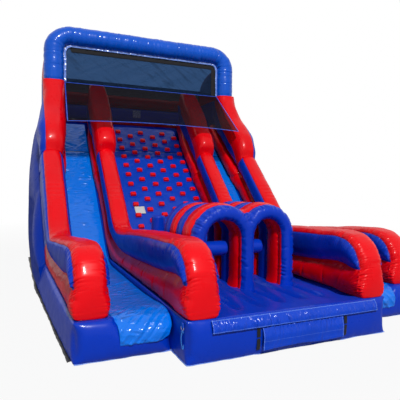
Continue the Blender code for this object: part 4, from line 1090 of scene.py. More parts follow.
def lobe_tube(name, sign, faces, steps, node, power, seed, spacing, ribbon, edge=None, swell=None, count=64,
              square=0.0, lean=0.0):
    """One tube whose section runs between two (y, z) points at each step. Beyond x = edge it is blue.
    Further along, square makes it boxier and lean moves it outwards."""
    line = smooth_path(steps, lambda at: min(spacing, 0.4 * spacing + 0.1 * at))
    low, high = line[:, 0], line[:, 1]
    angle = 2 * np.pi * (np.arange(count) + 0.5) / count
    s = path_lengths(0.5 * (low + high))[:, None]
    power = power + square * step(0.75, 1.2, s)
    share = 0.5 + 0.5 * squared(np.sin(angle), power)
    spot = low[:, None] + (high - low)[:, None] * share[..., None]
    half, middle = wall_span(faces, 0.5 * (low + high)[:, :1])
    leaning = lean * step(0.25, 0.6, s)
    across = squared(np.cos(angle), power) * (half + leaning)
    if swell:
        across = across * swell(s)
    grid = stacked(sign * (middle + leaning) + across, spot[..., 0], spot[..., 1])
    height = np.linalg.norm(high - low, axis=1)[:, None]
    seam = ribbon - (1 - share) * height
    turn = angle * 0.25
    move = puckers(turn + 3, s + 0.004, seed, size=0.028, reach=0.11, depth=0.012)
    move = move + puckers(turn + 5, s[-1] - s + 0.004, seed + 2, size=0.045, reach=0.09, depth=0.008)
    seam_folds = puckers(s, seam, seed + 4, size=0.06, reach=0.07, depth=0.004)
    move += seam_folds + dents(s, turn, seed + 6, 0.004, 0.3)
    grid = grid + grid_normals(grid) * move[..., None]
    front, back = grid[0].mean(axis=0), grid[-1].mean(axis=0)
    opening = [front + (grid[0] - front) * k for k in (0.25, 0.6, 0.86)]
    closing = [back + (grid[-1] - back) * k for k in (0.86, 0.6, 0.25)]
    grid = np.concatenate((opening, grid, closing))
    marks = np.concatenate((np.tile(seam[:1], (3, 1)), seam, np.tile(seam[-1:], (3, 1))))
    if edge:
        marks = np.minimum(marks, edge - np.abs(grid[..., 0]))
    dressed_tube(name, grid, "wall", "red_vinyl", [node], {"paint": marks}, fill=0.95)


def make_walls():
    foot = ARCH_FOOT_Z - GAP
    tail_start = above_ramp(HEAD_END, LOWER_TUBE)
    inner_tail = [(tail_start, (5.98, 3.93)), ((6.60, 3.70), (6.23, 4.19)), ((6.64, 3.86), (6.39, 4.24))]
    outer_tail = [(tail_start, (5.80, 3.88)), ((6.41, 3.80), (5.91, 4.07)), ((6.40, foot), (5.96, foot))]
    knuckle = [
        (above_ramp(5.66, LOWER_TUBE), (5.02, 2.75)),
        (above_ramp(5.82, LOWER_TUBE), (5.12, 3.01)),
        (above_ramp(6.04, LOWER_TUBE), (5.32, 3.25)),
        (above_ramp(6.32, LOWER_TUBE), (5.62, 3.57)),
    ]
    inner = dict(square=2.6)
    outer = dict(edge=2.395, lean=0.024)
    plans = (
        ("inner_wall", INNER_FACES, 0.0, BASE_HEIGHT, 0.0, inner_tail, HEAD_START + 0.10, 0.080, inner, None),
        ("outer_wall", OUTER_FACES, FIST_SETBACK, LANE_BASE_HEIGHT, OUTER_DROP, outer_tail,
         HEAD_START + 0.045, 0.056, outer, 2.25),
    )
    for kind, faces, front, base, drop, tail, top, ramp_seam, head, tail_edge in plans:
        for side, sign in SIDES.items():
            name = f"{kind}_{side}"
            seed = 100 + 40 * len(kind + side) + sign
            wall_skin(name, sign, faces, front, base, drop, top, ramp_seam, seed)
            start = tuple(above_ramp(top + GAP, up) for up in (LOWER_TUBE, LOWER_TUBE + UPPER_TUBE))
            steps = [start, *knuckle, *tail]
            lobe_tube(f"{name}_knuckle", sign, faces, steps, f"{name}_head", 2.7, seed + 7, 0.024, 0.36,
                      swell=lambda s: 0.93 + 0.10 * step(0, 0.16, s) - 0.03 * step(0.3, 0.6, s), count=104,
                      **head)
            ys = np.linspace(HEAD_START - 0.05, DECK_FRONT_Y - 0.04, 8)
            steps = [(above_ramp(y, GAP), above_ramp(y, LOWER_TUBE)) for y in ys]
            lobe_tube(f"{name}_tail", sign, faces, steps, f"{name}_lower_tube", 3, seed + 9, 0.05, 9.0,
                      edge=tail_edge)


# Tower


def deck_detail(unit, place):
    on = unit[:, 2] > 1 - 1e-6
    x, y = place[on, 0], place[on, 1]
    place[on, 2] += -0.02 * bell((x + 2.05) % 0.41 - 0.2, 0.03) + dents(x, y, 91, 0.002)


def flank_bulge(top_x):
    def reach(across, y, up):
        belly = FLANK_CROWN * np.sin(np.pi * up) * (1 - up) * crown_at(across, 2)
        shoulder = 0.15 * np.sin(np.pi * np.clip(up, 0, 1) ** 3) * (1 - 0.3 * across**2)
        return (HALF_WIDTH + FLANK_FOOT - top_x) * (1 - up) + belly + shoulder
    return reach


def make_tower():
    rear = BACK_PANEL_Y - GAP
    for side, sign in SIDES.items():
        sided_pillow(f"wall_support_{side}", sign, CLIMB_HALF + GAP, PLATFORM_HALF - GAP, RAMP_SEAM_Y + GAP,
                     rear, TOWER_BASE_HEIGHT, 1, f"inner_support_{side}", cell=0.06,
                     top=lambda place: np.minimum(place[:, 1] + RAMP_OFFSET, DECK_UNDER))
    half = LANE_OUTER - GAP
    pillow("deck_cushion", (-half, DECK_FRONT_Y, DECK_UNDER), (half, rear, DECK_Z), "deck", cell=0.035,
           detail=deck_detail)
    columns = (
        (RAMP_SEAM_Y, FLANK_SEAM_Y, HALF_WIDTH),
        (FLANK_SEAM_Y, DECK_FRONT_Y, HALF_WIDTH),
        (DECK_FRONT_Y, BACK_PANEL_Y + BACK_DEPTH, SIDE_WALL_X),
    )
    for side, sign in SIDES.items():
        face = "-x" if sign < 0 else "+x"
        for number, (front, back, top_x) in enumerate(columns, 1):
            high = min(back + RAMP_OFFSET, DECK_Z)
            crown = {face: 0.004, "+y": 0.02 if number == 3 else 0.0}
            sided_pillow(f"tower_side_{side}_{number}", sign, LANE_OUTER, top_x, front + GAP, back - GAP, 0,
                         high, f"flank_{side}_{number}", look="flank", crown=crown, cell=0.04,
                         top=lambda place: np.minimum(place[:, 1] + RAMP_OFFSET, DECK_Z) - GAP,
                         outward=(sign, flank_bulge(top_x)), fold=0.012, seed=200 + number + sign)
        make_side_ear(side, sign)


def side_outline():
    """The deck's side wall in (y, z), rounded down to its rear."""
    front = ARCH_Y + ARCH_TUBE / 2 + 0.03
    rear = BACK_PANEL_Y + BACK_DEPTH
    outline = [(rear, DECK_Z + GAP), (DECK_FRONT_Y, DECK_Z + GAP), above_ramp(DECK_FRONT_Y, LOWER_TUBE + GAP),
               (front, above_ramp(DECK_FRONT_Y, LOWER_TUBE)[1] + 0.03), (front, SIDE_CAP_Z + SIDE_CAP_HEIGHT)]
    for i in range(1, 13):
        angle = math.pi / 2 * i / 12
        y = front + (rear - front) * math.sin(angle) ** (2 / 3)
        outline.append((y, SIDE_CAP_Z + SIDE_CAP_HEIGHT * max(math.cos(angle), 0) ** (2 / 3)))
    return [*outline, outline[0]]


def make_side_ear(side, sign):
    """A flat inflated shape in the side wall's outline, thickest in its middle."""
    half = 0.5 * (SIDE_WALL_X - LANE_OUTER)
    rim, at = (values[:-1] for values in even_line(side_outline(), 151))
    centre = rim.mean(axis=0)
    turn = np.linspace(-np.pi / 2, np.pi / 2, 44)
    radius = np.cos(turn)[:, None] ** 0.35
    depth = squared(np.sin(turn), 2 / 0.75)[:, None]
    spot = centre + (rim - centre) * radius[..., None]
    away = np.linalg.norm(rim - centre, axis=1) * (1 - radius)
    thick = half * (0.66 + 0.34 * (1 - (1 - np.clip(away / 0.35, 0, 1)) ** 2))
    move = puckers(at, away, 220 + sign, size=0.06, reach=0.14, depth=0.016)
    x = sign * 0.5 * (LANE_OUTER + SIDE_WALL_X) + depth * np.minimum(half, thick + move)
    marks = {"paint": spot[..., 1] - (SIDE_CAP_Z - 0.06)}
    grid = stacked(x, spot[..., 0], spot[..., 1])
    dressed_tube(f"side_ear_{side}", grid, "wall", "red_vinyl", [f"side_wall_{side}"], marks, fill=0.9)


def make_back_panels():
    width = 2 * (LANE_OUTER - GAP)
    wide = width / 3
    for i in range(3):
        left = -width / 2 + wide * i

        def ribs(unit, place, left=left):
            on = unit[:, 1] > 1 - 1e-6
            for line in (0.33, 0.66):
                away = place[on, 0] - left - line * wide
                place[on, 1] += -0.03 * bell(away, 0.04) * step(0.05, 0.3, place[on, 2])

        pillow(f"back_panel_{i + 1}", (left + GAP, BACK_PANEL_Y, 0),
               (left + wide - GAP, BACK_PANEL_Y + BACK_DEPTH - BACK_CROWN, BACK_TOP), f"back_column_{i + 1}",
               crown={"+y": BACK_CROWN}, power=(6, 2.6), cell=0.04, fold=0.012, seed=240 + i, detail=ribs)


def make_rails():
    """The deck's back wall: three tubes, a patch, and the net over them."""
    depth = BACK_DEPTH - BACK_CROWN
    middle = BACK_PANEL_Y + 0.5 * depth
    reach = LANE_OUTER - GAP
    angle = 2 * np.pi * (np.arange(40) + 0.5) / 40
    across = squared(np.cos(angle), 2.4)
    up = 0.5 + 0.5 * squared(np.sin(angle), 2.4)
    x = np.linspace(-reach, reach, 110)[:, None]
    s = x + 3
    z = BACK_TOP
    for rail, height in RAILS:
        up_z = z + GAP + up * height
        grid = stacked(x, middle + across * min(0.5 * depth, 0.75 * height), up_z)
        move = puckers(s, up * height, 260, size=0.07, reach=0.06, depth=0.006)
        top_folds = puckers(s, (1 - up) * height, 262, size=0.07, reach=0.06, depth=0.006)
        move += top_folds + dents(s, up_z, 264, 0.003)
        grid = grid + grid_normals(grid) * move[..., None]
        colour = "blue" if rail == "blue" else "red"
        node = f"back_rail_{rail}"
        dressed_tube(f"rail_{rail}", grid, colour, f"{colour}_vinyl", [node], crease=70, fill=0.95)
        z += height
    x, label_z = RAIL_LABEL_AT
    spot = np.array((x, BACK_PANEL_Y - 0.008, label_z))
    patch_label("rail_label", spot, np.array((0, 0, 1)), np.array((0, -1, 0)))
    reach = LANE_OUTER + BACK_NET_SEAM
    x, up = np.meshgrid(np.linspace(-reach, reach, 60), np.linspace(0, BACK_NET_HEIGHT, 14), indexing="ij")
    loose = step(0, 0.05, up) * step(BACK_NET_HEIGHT, BACK_NET_HEIGHT - 0.05, up)
    y = middle + 0.012 * noise(x / 0.4, up / 0.3, 270) * loose
    net = dressed_sheet("back_net", stacked(x, y, z + GAP + up), "net_back", "mesh_netting", ["back_mesh"])


def make_sleeves():
    along = np.linspace(0, 1, 40)[:, None]
    angle = 2 * np.pi * np.arange(72) / 72
    sag = noise(angle * 1.6 / np.pi * 4, along * 3, 280) + 0.6 * noise(angle * 9 / np.pi, along * 5, 281)
    radius = SLEEVE_RADIUS - 0.004 - 0.008 * np.clip(sag, -0.4, 1) * np.sin(np.pi * along) ** 0.5
    radius -= 0.010 * bell(along - 0.72, 0.05)
    y = BACK_PANEL_Y + BACK_DEPTH + GAP + along * SLEEVE_LENGTH
    for side, sign in SIDES.items():
        x = sign * (LANE_OUTER + HALF_WIDTH) / 2 + radius * np.cos(angle)
        grid = stacked(x, y, SLEEVE_RADIUS + 0.02 + radius * np.sin(angle))
        node = f"inflation_sleeve_{side}"
        sleeve = dressed_sheet(f"sleeve_{side}", grid, "blue", "blue_vinyl", [node], thick=0.003,
                               centred=True, wrap=True)


# Arch and nets

ARCH_RADIUS = ARCH_TUBE / 2
OPENING_HALF = ARCH_LEG_X - ARCH_RADIUS
OPENING_TOP = ARCH_TOP_Z - ARCH_TUBE
OPENING_CORNER = ARCH_CORNER - ARCH_RADIUS + 0.02
OPENING_FOOT = ARCH_FOOT_Z + GAP
# The seams along the tube: an angle round it, a seed, and their folds' reach and depth
ARCH_SEAMS = ((0.9, 300, 0.05, 0.010), (2.9, 310, 0.09, 0.014), (-0.9, 320, 0.05, 0.006))


def make_arch():
    route = arch_line(ARCH_LEG_X, ARCH_TOP_Z - ARCH_RADIUS, ARCH_CORNER, 10)
    corner_at = path_lengths(route)[6]
    line, at = even_line(route, 620)
    for _ in range(12):
        line[1:-1] = 0.25 * line[:-2] + 0.5 * line[1:-1] + 0.25 * line[2:]
    # Angle 0 faces out of the arch, and a quarter turn on faces the front
    angle = 2 * np.pi * np.arange(56) / 56
    s = at[:, None]
    last = float(at[-1])
    end = np.minimum(s, last - s)
    around = angle * ARCH_RADIUS
    move = 0.005 * noise(s / 0.05, around / 0.3, 325) + 0.003 * noise(s / 0.11, around / 0.2, 326)
    for centre, seed, reach, deep in ARCH_SEAMS:
        away = np.abs((angle - centre + np.pi) % (2 * np.pi) - np.pi) * ARCH_RADIUS
        move += puckers(s, away, seed, size=0.055, reach=reach, depth=deep)
    corner = bell(s - corner_at, 0.3) + bell(last - s - corner_at, 0.3)
    move += -0.02 * corner * step(0.2, 1.0, -np.cos(angle)) * np.abs(noise(s / 0.06, around / 0.3, 330))
    for weld in WELDS:
        move += -0.006 * (bell(s - weld, 0.012) + bell(s - (last - weld), 0.012))
    foot_folds = puckers(around + 1, end, 340, size=0.05, reach=0.10, depth=0.012)
    move += foot_folds + dents(s, around, 350, 0.003, 0.3)
    leg = step(1.05, 0.75, end)
    size = (ARCH_RADIUS - 0.003 + move + 0.012 * leg) * (1 - 0.06 * bell(end, 0.04))
    x, z = offset(line, -left_normals(line), np.cos(angle) * size)
    x += 0.012 * leg * np.sign(line[:, :1])
    grid = stacked(x, ARCH_Y - np.sin(angle) * size, z)
    dressed_tube("arch_tube", grid, "arch", "blue_vinyl", ["arch_frame"], fill=1.0)


def make_window():
    """The net in the arch, with a black border and a scalloped binding round it whose pale colour is a
    painted glint.
    """
    edge = arch_line(OPENING_HALF, OPENING_TOP, OPENING_CORNER, 8)
    line, at = even_line(edge, 420)
    inward = left_normals(line)
    across = np.linspace(0.036, 0.150, 5) * np.where(line[:, :1] < 0.1 - OPENING_HALF, 0.34, 1.0)
    x, z = offset(line, inward, across)
    grid = stacked(x, ARCH_Y - 0.006 + 0.004 * noise(at / 0.06, 0.5, 363)[:, None], z)
    tape = dressed_sheet("window_border", grid, "black_tape", "webbing", thick=0.002)
    across = np.linspace(-0.012, 0.042, 6)
    wave = 0.014 * noise(at / 0.045, 0.5, 360) + 0.008 * noise(at / 0.02, 0.5, 361)
    scallop = 0.008 * np.abs(noise(at / 0.07, 0.5, 362))
    x, z = offset(line, inward, across - scallop[:, None] * (across > 0))
    grid = stacked(x, ARCH_Y - 0.03 + wave[:, None] * np.linspace(0.3, 1.2, 6), z)
    # The binding's pale colour is a painted glint
    strip = dressed_sheet("window_binding", grid, "pale_hem_and_painted_glint", "blue_vinyl", thick=0.003)

    u, v = shared_grid(110, 44)
    height = OPENING_TOP - OPENING_FOOT
    z = OPENING_FOOT + v * height
    cut = np.clip(z - (OPENING_TOP - OPENING_CORNER), 0, OPENING_CORNER)
    x = u * (OPENING_HALF - OPENING_CORNER + np.sqrt(np.maximum(OPENING_CORNER**2 - cut**2, 0)))
    hang = np.sin(np.pi * (u + 1) / 2) ** 0.5 * np.sin(np.pi * np.minimum(v, 1 - v)) ** 0.5
    fold = noise((x - 2.2 * z) / 0.16, (x + z) / 1.6, 370)
    y = ARCH_Y + 0.012 + hang * (0.018 * fold + 0.02 * noise(x / 0.8, z / 0.6, 371))
    net = dressed_sheet("window_net", stacked(x, y, z), "net_window", "mesh_netting", ["window_mesh"])


def make_entry():
    """The sloping net over the entry, and the blue tape folded over its edges."""
    u, v = shared_grid(110, 44)
    x = u * (HEM_HALF_WIDTH + (OPENING_HALF - 0.01 - HEM_HALF_WIDTH) * v)
    slack = np.sin(np.pi * (u + 1) / 2) ** 0.5 * np.sin(np.pi * v) ** 0.6
    sag = 0.015 + 0.012 * noise((x + 1.5 * v) / 0.2, v * 2, 380)
    drop = 0.010 + slack * sag - 0.06 * (1 - u**2) * (1 - v)
    y = HEM_Y + (ARCH_Y - 0.03 - HEM_Y) * v
    grid = stacked(x, y, HEM_Z + (OPENING_FOOT - HEM_Z) * v - drop)
    net = dressed_sheet("entry_net", grid, "net_entry", "mesh_netting", ["entry_mesh"])
    for part, points in (("low", grid[:, 0]), ("left", grid[0]), ("right", grid[-1]), ("high", grid[:, -1])):
        wide = RIGHT if part in ("left", "right") else np.array((0, 0.74, 0.67))
        tape_along(f"entry_hem_{part}", points, wide)


def tape_along(name, points, wide):
    """A folded tape along a line of points, widest in one direction."""
    line, at = even_line(points, max(40, int(path_lengths(points)[-1] / 0.02)))
    angle = 2 * np.pi * np.arange(10) / 10
    section = np.cos(angle)[:, None] * wide + 0.35 * np.sin(angle)[:, None] * np.array((0, -0.67, 0.74))
    size = 0.012 * (1 + 0.25 * noise(at / 0.04, 0.5, 390))
    dressed_tube(name, line[:, None] + size[:, None, None] * section, "binding", "blue_vinyl")


# Tunnel


def tunnel_halves():
    """(middle, half width) of each of the tunnel's two arches."""
    return [((a + b) / 2, (b - a) / 2) for a, b in zip(TUNNEL_LEGS, TUNNEL_LEGS[1:])]


def tunnel_tubes(grow, depth, front, power):
    """A bmesh of the two arches, each a closed tube, that cross in the middle leg."""
    bm = bmesh.new()
    count = 28
    angle = 2 * np.pi * np.arange(count) / count
    c, s = squared(np.cos(angle), power), squared(np.sin(angle), power)
    rise = TUNNEL_RISE - TUNNEL_TUBE / 2
    legs = [BASE_HEIGHT + GAP, 0.8]
    for centre, half in tunnel_halves():
        curve = [(centre + half * x, TUNNEL_ARCH_Z + rise * z) for x, z in arc((0, 0), 1, 180, 0, 24)]
        left = [(centre - half, z) for z in legs]
        right = [(centre + half, z) for z in legs[::-1]]
        path = np.array([*left, *curve, *right])
        x, z = offset(path, left_normals(path), c * (TUNNEL_TUBE / 2 + grow))
        rings = [[bm.verts.new(p) for p in row] for row in stacked(x, front + depth + s * depth, z)]
        for before, after in zip(rings, rings[1:]):
            for i in range(count):
                j = (i + 1) % count
                bm.faces.new((before[i], before[j], after[j], after[i]))
        bm.faces.new(rings[0])
        bm.faces.new(rings[-1])
    for vert in bmesh.ops.create_icosphere(bm, subdivisions=3, radius=1)["verts"]:
        x, y, z = vert.co
        vert.co = (TUNNEL_LEGS[1] + 0.12 * x, front + depth + depth * 0.92 * y, BLOB_Z + (0.105 + grow) * z)
    bmesh.ops.recalc_face_normals(bm, faces=bm.faces)
    return bm


def remeshed(name, bm, voxel):
    """The welded skin round everything in the bmesh, as points, normals and faces."""
    mesh = bpy.data.meshes.new(name)
    bm.to_mesh(mesh)
    bm.free()
    obj = add_object(name, mesh)
    shrink = obj.modifiers.new("skin", "REMESH")
    shrink.mode = "VOXEL"
    shrink.voxel_size = voxel
    calm = obj.modifiers.new("calm", "SMOOTH")
    calm.factor = 0.5
    calm.iterations = 3
    graph = bpy.context.evaluated_depsgraph_get()
    made = bpy.data.meshes.new_from_object(obj.evaluated_get(graph))
    bpy.data.objects.remove(obj)
    points, normals = np.zeros((2, len(made.vertices) * 3))
    made.vertices.foreach_get("co", points)
    made.vertices.foreach_get("normal", normals)
    return points.reshape(-1, 3), normals.reshape(-1, 3), [list(p.vertices) for p in made.polygons]


def tunnel_frame(points):
    """Where points are on the tunnel: metres along its arch, and metres out from the tube's middle line."""
    x, z = points[:, 0], points[:, 2]
    on_right = x >= TUNNEL_LEGS[1]
    centre, half = np.array(tunnel_halves())[on_right.astype(int)].T
    rise = TUNNEL_RISE - TUNNEL_TUBE / 2
    over = z > TUNNEL_ARCH_Z
    angle = np.arctan2((z - TUNNEL_ARCH_Z) / rise, (x - centre) / half)
    radius = np.hypot((x - centre) / half, (z - TUNNEL_ARCH_Z) / rise)
    out = np.where(over, (radius - 1) * 0.5 * (half + rise), np.abs(x - centre) - half)
    down = np.where(x < centre, np.pi * 0.35 + TUNNEL_ARCH_Z - z, z - TUNNEL_ARCH_Z)
    return np.where(over, angle * 0.35, down) + 3 * on_right, out


def make_tunnel():
    """The blue ring in front and the four bands behind it. The first band reaches a little over the ring."""
    pieces = [("ring", "tunnel_front_ring", TUNNEL_FRONT_Y, TUNNEL_RING_DEPTH, "blue", 0.0105, 0.0)]
    for n in range(1, 5):
        front = TUNNEL_FRONT_Y + TUNNEL_RING_DEPTH + (n - 1) * TUNNEL_BAND_DEPTH
        early, grow = (0.085, 0.024) if n == 1 else (0.0, 0.006)
        pieces.append((f"band_{n}", f"tunnel_band_{n}", front - early, TUNNEL_BAND_DEPTH + early,
                       "red" if n % 2 else "blue", 0.016, grow))
    legs = np.array(TUNNEL_LEGS)
    rim = TUNNEL_TUBE / 2
    for n, (short, node, front, depth, colour, voxel, grow) in enumerate(pieces):
        bm = tunnel_tubes(grow, depth / 2 + 0.004, front - 0.004, 2.3 if short == "ring" else 2.9)
        points, normals, faces = remeshed(f"tunnel_{short}", bm, voxel)
        along, out = tunnel_frame(points)
        y = points[:, 1]
        seed = 400 + 10 * n
        marks = None
        if short == "ring":
            move = puckers(along, rim - out, seed, size=0.026, reach=0.075, depth=0.030)
            move += puckers(along, out + rim, seed + 2, size=0.026, reach=0.05, depth=0.022)
            marks = {"paint": y - front - 0.20 + 0.130 * step(0.02, -0.05, out)}
        else:
            edge = np.minimum(y - front + 0.004, front + depth + 0.004 - y)
            move = puckers(along, edge, seed, size=0.045, reach=0.08, depth=0.018)
        move += dents(along, out + y, seed + 4, 0.002, 0.15)
        points = points + normals * move[:, None]
        points[:, 2] = np.maximum(points[:, 2], BASE_HEIGHT - 0.004)
        # The feet flare, and sink into the channels of the platform
        foot = np.exp(-(points[:, 2] - BASE_HEIGHT) / FOOT_REACH)
        leg = legs[np.argmin(np.abs(points[:, :1] - legs), axis=1)]
        points[:, 0] += FOOT_FLARE.get(short, 0) * (points[:, 0] - leg) * foot
        points[:, 2] -= FOOT_SINK * foot
        obj = build(f"tunnel_{short}", points, faces, marks)
        dress(obj, "wall" if marks else colour, f"{colour}_vinyl", [node], fill=0.95)


# (share of the radius, metres short of the end) of the rings that close a bolster
BOLSTER_END = (
    (0.995, 0.022), (0.97, 0.011), (0.93, 0.004), (0.86, 0.0), (0.6, -0.003), (0.3, -0.004), (0.08, -0.004),
)


def make_arms_and_posts():
    x_axis, y_axis, z_axis = np.eye(3)
    arm_y = TUNNEL_FRONT_Y + TUNNEL_RING_DEPTH + TUNNEL_BAND_DEPTH / 2
    for (side, length), leg_x in zip(ARM_LENGTHS.items(), TUNNEL_LEGS):
        root = np.array((leg_x + TUNNEL_TUBE / 2 + GAP, arm_y, ARM_Z))
        body = f"tunnel_arm_{side}"
        bolster(f"arm_{side}", root, ARM_RADIUS, length, x_axis, y_axis, z_axis, body, 440 + length)
    for side, sign in SIDES.items():
        root = np.array((sign * POST_X, POST_Y, BASE_HEIGHT + GAP))
        bolster(f"post_{side}", root, POST_RADIUS, POST_TOP - BASE_HEIGHT, z_axis, x_axis, y_axis,
                f"popup_post_{side}", 450 + sign)


def bolster(name, root, radius, length, axis, first, second, body, seed):
    """A round column with a domed root and a puckered, flatter end."""
    turns = np.linspace(-math.pi / 2 + 0.06, 0, 9)
    dome = [(radius * math.cos(a), radius + radius * math.sin(a)) for a in turns]
    shaft = [(radius, z) for z in np.linspace(radius, length - 0.034, max(6, int(length / 0.02)))[1:]]
    end = [(radius * share, length - short) for share, short in BOLSTER_END]
    rings, height = np.array(dome + shaft + end).T[..., None]
    angle = 2 * np.pi * np.arange(64) / 64
    around = angle * radius
    move = puckers(around + 1, length - height, seed, size=0.035, reach=0.08, depth=0.006)
    move += puckers(around + 2, height, seed + 1, size=0.035, reach=0.06, depth=0.004)
    move += dents(around, height, seed + 2, 0.0015, 0.12)
    r = (rings + np.minimum(move, 0.0) * (rings > 0.3 * radius))[..., None]
    turn = np.cos(angle)[:, None] * first + np.sin(angle)[:, None] * second
    grid = root + axis * height[..., None] + r * turn
    dressed_tube(name, grid, "blue", "blue_vinyl", [body], body=body, fill=0.95)


# Sewn trim


def front_crown(x, z):
    """How far the platform's front stands out at (x, z)."""
    across, up = np.clip(x / PLATFORM_HALF, -1, 1), np.clip(2 * z / BASE_HEIGHT - 1, -1, 1)
    return (FRONT_CROWN + FULLER) * (crown_at(across, 10) * crown_at(up, 2.0)) ** 0.6


def trim_sheet(name, xs, zs, look, slot, node, rows, shape, levels, uprights=(), body="slide", cut=None):
    """A sewn sheet on the platform's front. shape gives how far it stands out and how far it shifts up, at
    (x, z). Stitches run along its levels and uprights."""
    columns = int((xs[1] - xs[0]) / 0.005) + 1
    x, z = np.meshgrid(np.linspace(*xs, columns), np.linspace(*zs, rows), indexing="ij")
    out, shift = shape(x, z)
    stitch = np.full_like(x, 1.0)
    run = x.copy()
    for level in levels:
        stitch = np.minimum(stitch, np.abs(z - level))
    for upright in uprights:
        away = np.abs(x - upright)
        run = np.where(away < stitch, z, run)
        stitch = np.minimum(stitch, away)
    faces = grid_faces(columns, rows)
    if cut:
        faces = faces[np.abs(z.ravel()[faces[:, 0]] - cut) > 0.008]
    obj = build(name, stacked(x, -out, z + shift), faces, {"stitch": stitch, "run": run}, closed=False)
    thicken(obj, 0.0015)
    return dress(obj, look, slot, [node], body=body)


def strip_shape(x, z):
    v = (z - STRIP_Z[0]) / 0.13
    folds = np.clip(noise(x / 0.032 + 0.8 * v, v * 0.8, 500) + 0.4 * noise(x / 0.018, v, 501), -0.2, 1.3)
    strength = 0.30 + 0.70 * bell(x + 0.45, 0.6)
    fine = noise(x / 0.013 + 0.5 * v, v * 0.9, 502)
    slack = (0.012 + strength * (0.020 * folds + 0.010 * fine)) * np.sin(np.pi * np.clip(v, 0.06, 0.94))
    return 0.009 + front_crown(x, z) + 0.018 * (1 - v) + slack, 0


def flap_shape(x, z):
    v = (0.319 - z) / 0.249
    folds = np.clip(noise(x / 0.07, v * 0.7, 510), -0.3, 1) * step(0.0, 0.25, v)
    folds += 0.9 * noise(x / 0.014, v * 1.5, 511) * step(0.7, 0.1, v)
    kick = 0.012 * step(0.75, 1.0, v) * (0.6 + 0.6 * noise(x / 0.25, 0.5, 512))
    out = 0.013 + front_crown(x, z) + 0.009 * folds + 0.022 * step(0, 0.5, v) + kick
    return out, 0.012 * step(0.8, 1.0, v) * noise(x / 0.3, 0.5, 513)


def make_trim():
    left, right = STRIP_X
    low, high = STRIP_Z
    strip = trim_sheet("connector_strip", STRIP_X, STRIP_Z, "strip", "blue_vinyl", "front_strip", 16,
                       strip_shape, (low + 0.008, high - 0.008), (left + 0.01, right - 0.01))

    left, right = FLAP_X
    flap = trim_sheet("connector_panel", FLAP_X, FLAP_Z, "strip", "blue_vinyl", "connector_flap", 24,
                      flap_shape, (0.165, 0.105), (left + 0.01, right - 0.01), body=None)
    graph = bpy.context.evaluated_depsgraph_get()
    thick_mesh = bpy.data.meshes.new_from_object(flap.evaluated_get(graph))
    flap.modifiers.clear()
    flap.data = thick_mesh
    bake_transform(flap)

    for side, middle in TAPE_X.items():
        def tape_shape(x, z, middle=middle):
            return 0.006 + front_crown(x, z) + 0.003 * noise(z / 0.05, middle, 520), 0

        xs = (middle - TAPE_WIDTH / 2, middle + TAPE_WIDTH / 2)
        tape = trim_sheet(f"hook_tape_{side}", xs, TAPE_Z, "black_tape", "hook_tape", f"hook_strip_{side}",
                          32, tape_shape, (0.2,), cut=0.205)


def make_hems():
    edge = PLATFORM_HALF
    round_front = [(-edge, RAMP_SEAM_Y - 3.5), (-edge, 0.0), (0, -0.004), (edge, 0.0), (edge, 0.5)]
    hem_along("platform_hem", round_front, "pale_hem_and_painted_glint")
    front = LANE_SETBACK - 0.002
    for side, sign in SIDES.items():
        hem_along(f"lane_hem_{side}", [(sign * 1.37, front), (sign * (HALF_WIDTH - 0.01), front)], "pale_hem_and_painted_glint")
        foot = sign * (HALF_WIDTH + FLANK_FOOT)
        start = (sign * (HALF_WIDTH - 0.005), LANE_SETBACK + 0.10)
        hem_along(f"ground_sheet_{side}", [start, (foot, RAMP_SEAM_Y), (foot, 7.4)], "black_sheet", 0.04)


def hem_along(name, points, look, reach=0.007):
    """A sewn edge where a base meets the ground, reaching out from under it."""
    length = path_lengths(np.array(points, float))[-1]
    line, at = even_line(points, int(length / 0.02))
    side = -left_normals(line)
    centre = np.array((0.0, 3.0))
    side *= np.where(((line - centre) * side).sum(axis=1, keepdims=True) < 0, -1, 1)
    across = np.linspace(-SHEET_FOOT, reach, 5)
    wave = 0.12 * reach * (1 + noise(at / 0.06, 0.5, 530) + 2 * noise(at / 0.4, 0.5, 532))
    x, y = offset(line, side, across + wave[:, None])
    z = 0.012 + 0.006 * noise(at / 0.09, 0.5, 531)[:, None] - 0.007 * step(0, reach, across)
    obj = dressed_sheet(name, stacked(x, y, z), look, "blue_vinyl", thick=0.002)


def make_tether():
    low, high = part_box("tether_tab")
    unit, faces = box_lattice(10, 10, 10)
    soft = unit / (np.abs(unit) ** 6).sum(axis=1, keepdims=True) ** (1 / 6)
    middle = np.array((low + high) / 2) - np.array((0, ROW_Y, 0))
    place = middle + soft * np.array((high - low) / 2) * (0.7, 1, 1)
    dress(build("tether_loop_tab", place, faces), "binding", "blue_vinyl", ["tether_tab"])

    low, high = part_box("tether_strap")
    x, y = (low.x + high.x) / 2, (low.y + high.y) / 2 - ROW_Y
    outer = (high.x - low.x) / 2
    radius = outer - 0.002
    top, bottom = high.z - outer, low.z + outer
    sides = [(t, math.sin(t * math.pi)) for t in np.linspace(0.05, 0.95, 16)]
    path = np.array([
        (radius, top),
        *arc((0, top), radius, 0, 180, 10),
        *((-radius - 0.01 * bow, top + (bottom - top) * t) for t, bow in sides),
        *arc((0, bottom), radius, 180, 360, 10),
        *((radius + 0.012 * bow, bottom + (top - bottom) * t) for t, bow in sides),
    ])
    path_x, path_z = path[:, :1], path[:, 1:]
    grid = stacked(x + path_x, y + np.linspace(-0.0125, 0.0125, 6) + 0.006 * np.sin(path_z * 30), path_z)
    strap = dressed_sheet("tether_webbing", grid, "strap", "webbing", ["tether_strap"], thick=0.0025,
                          body="tether_ring")
    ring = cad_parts["tether_ring"]
    ring.data.materials.clear()
    ring.data.materials.append(LOOKS["steel"].owner)


# Stage

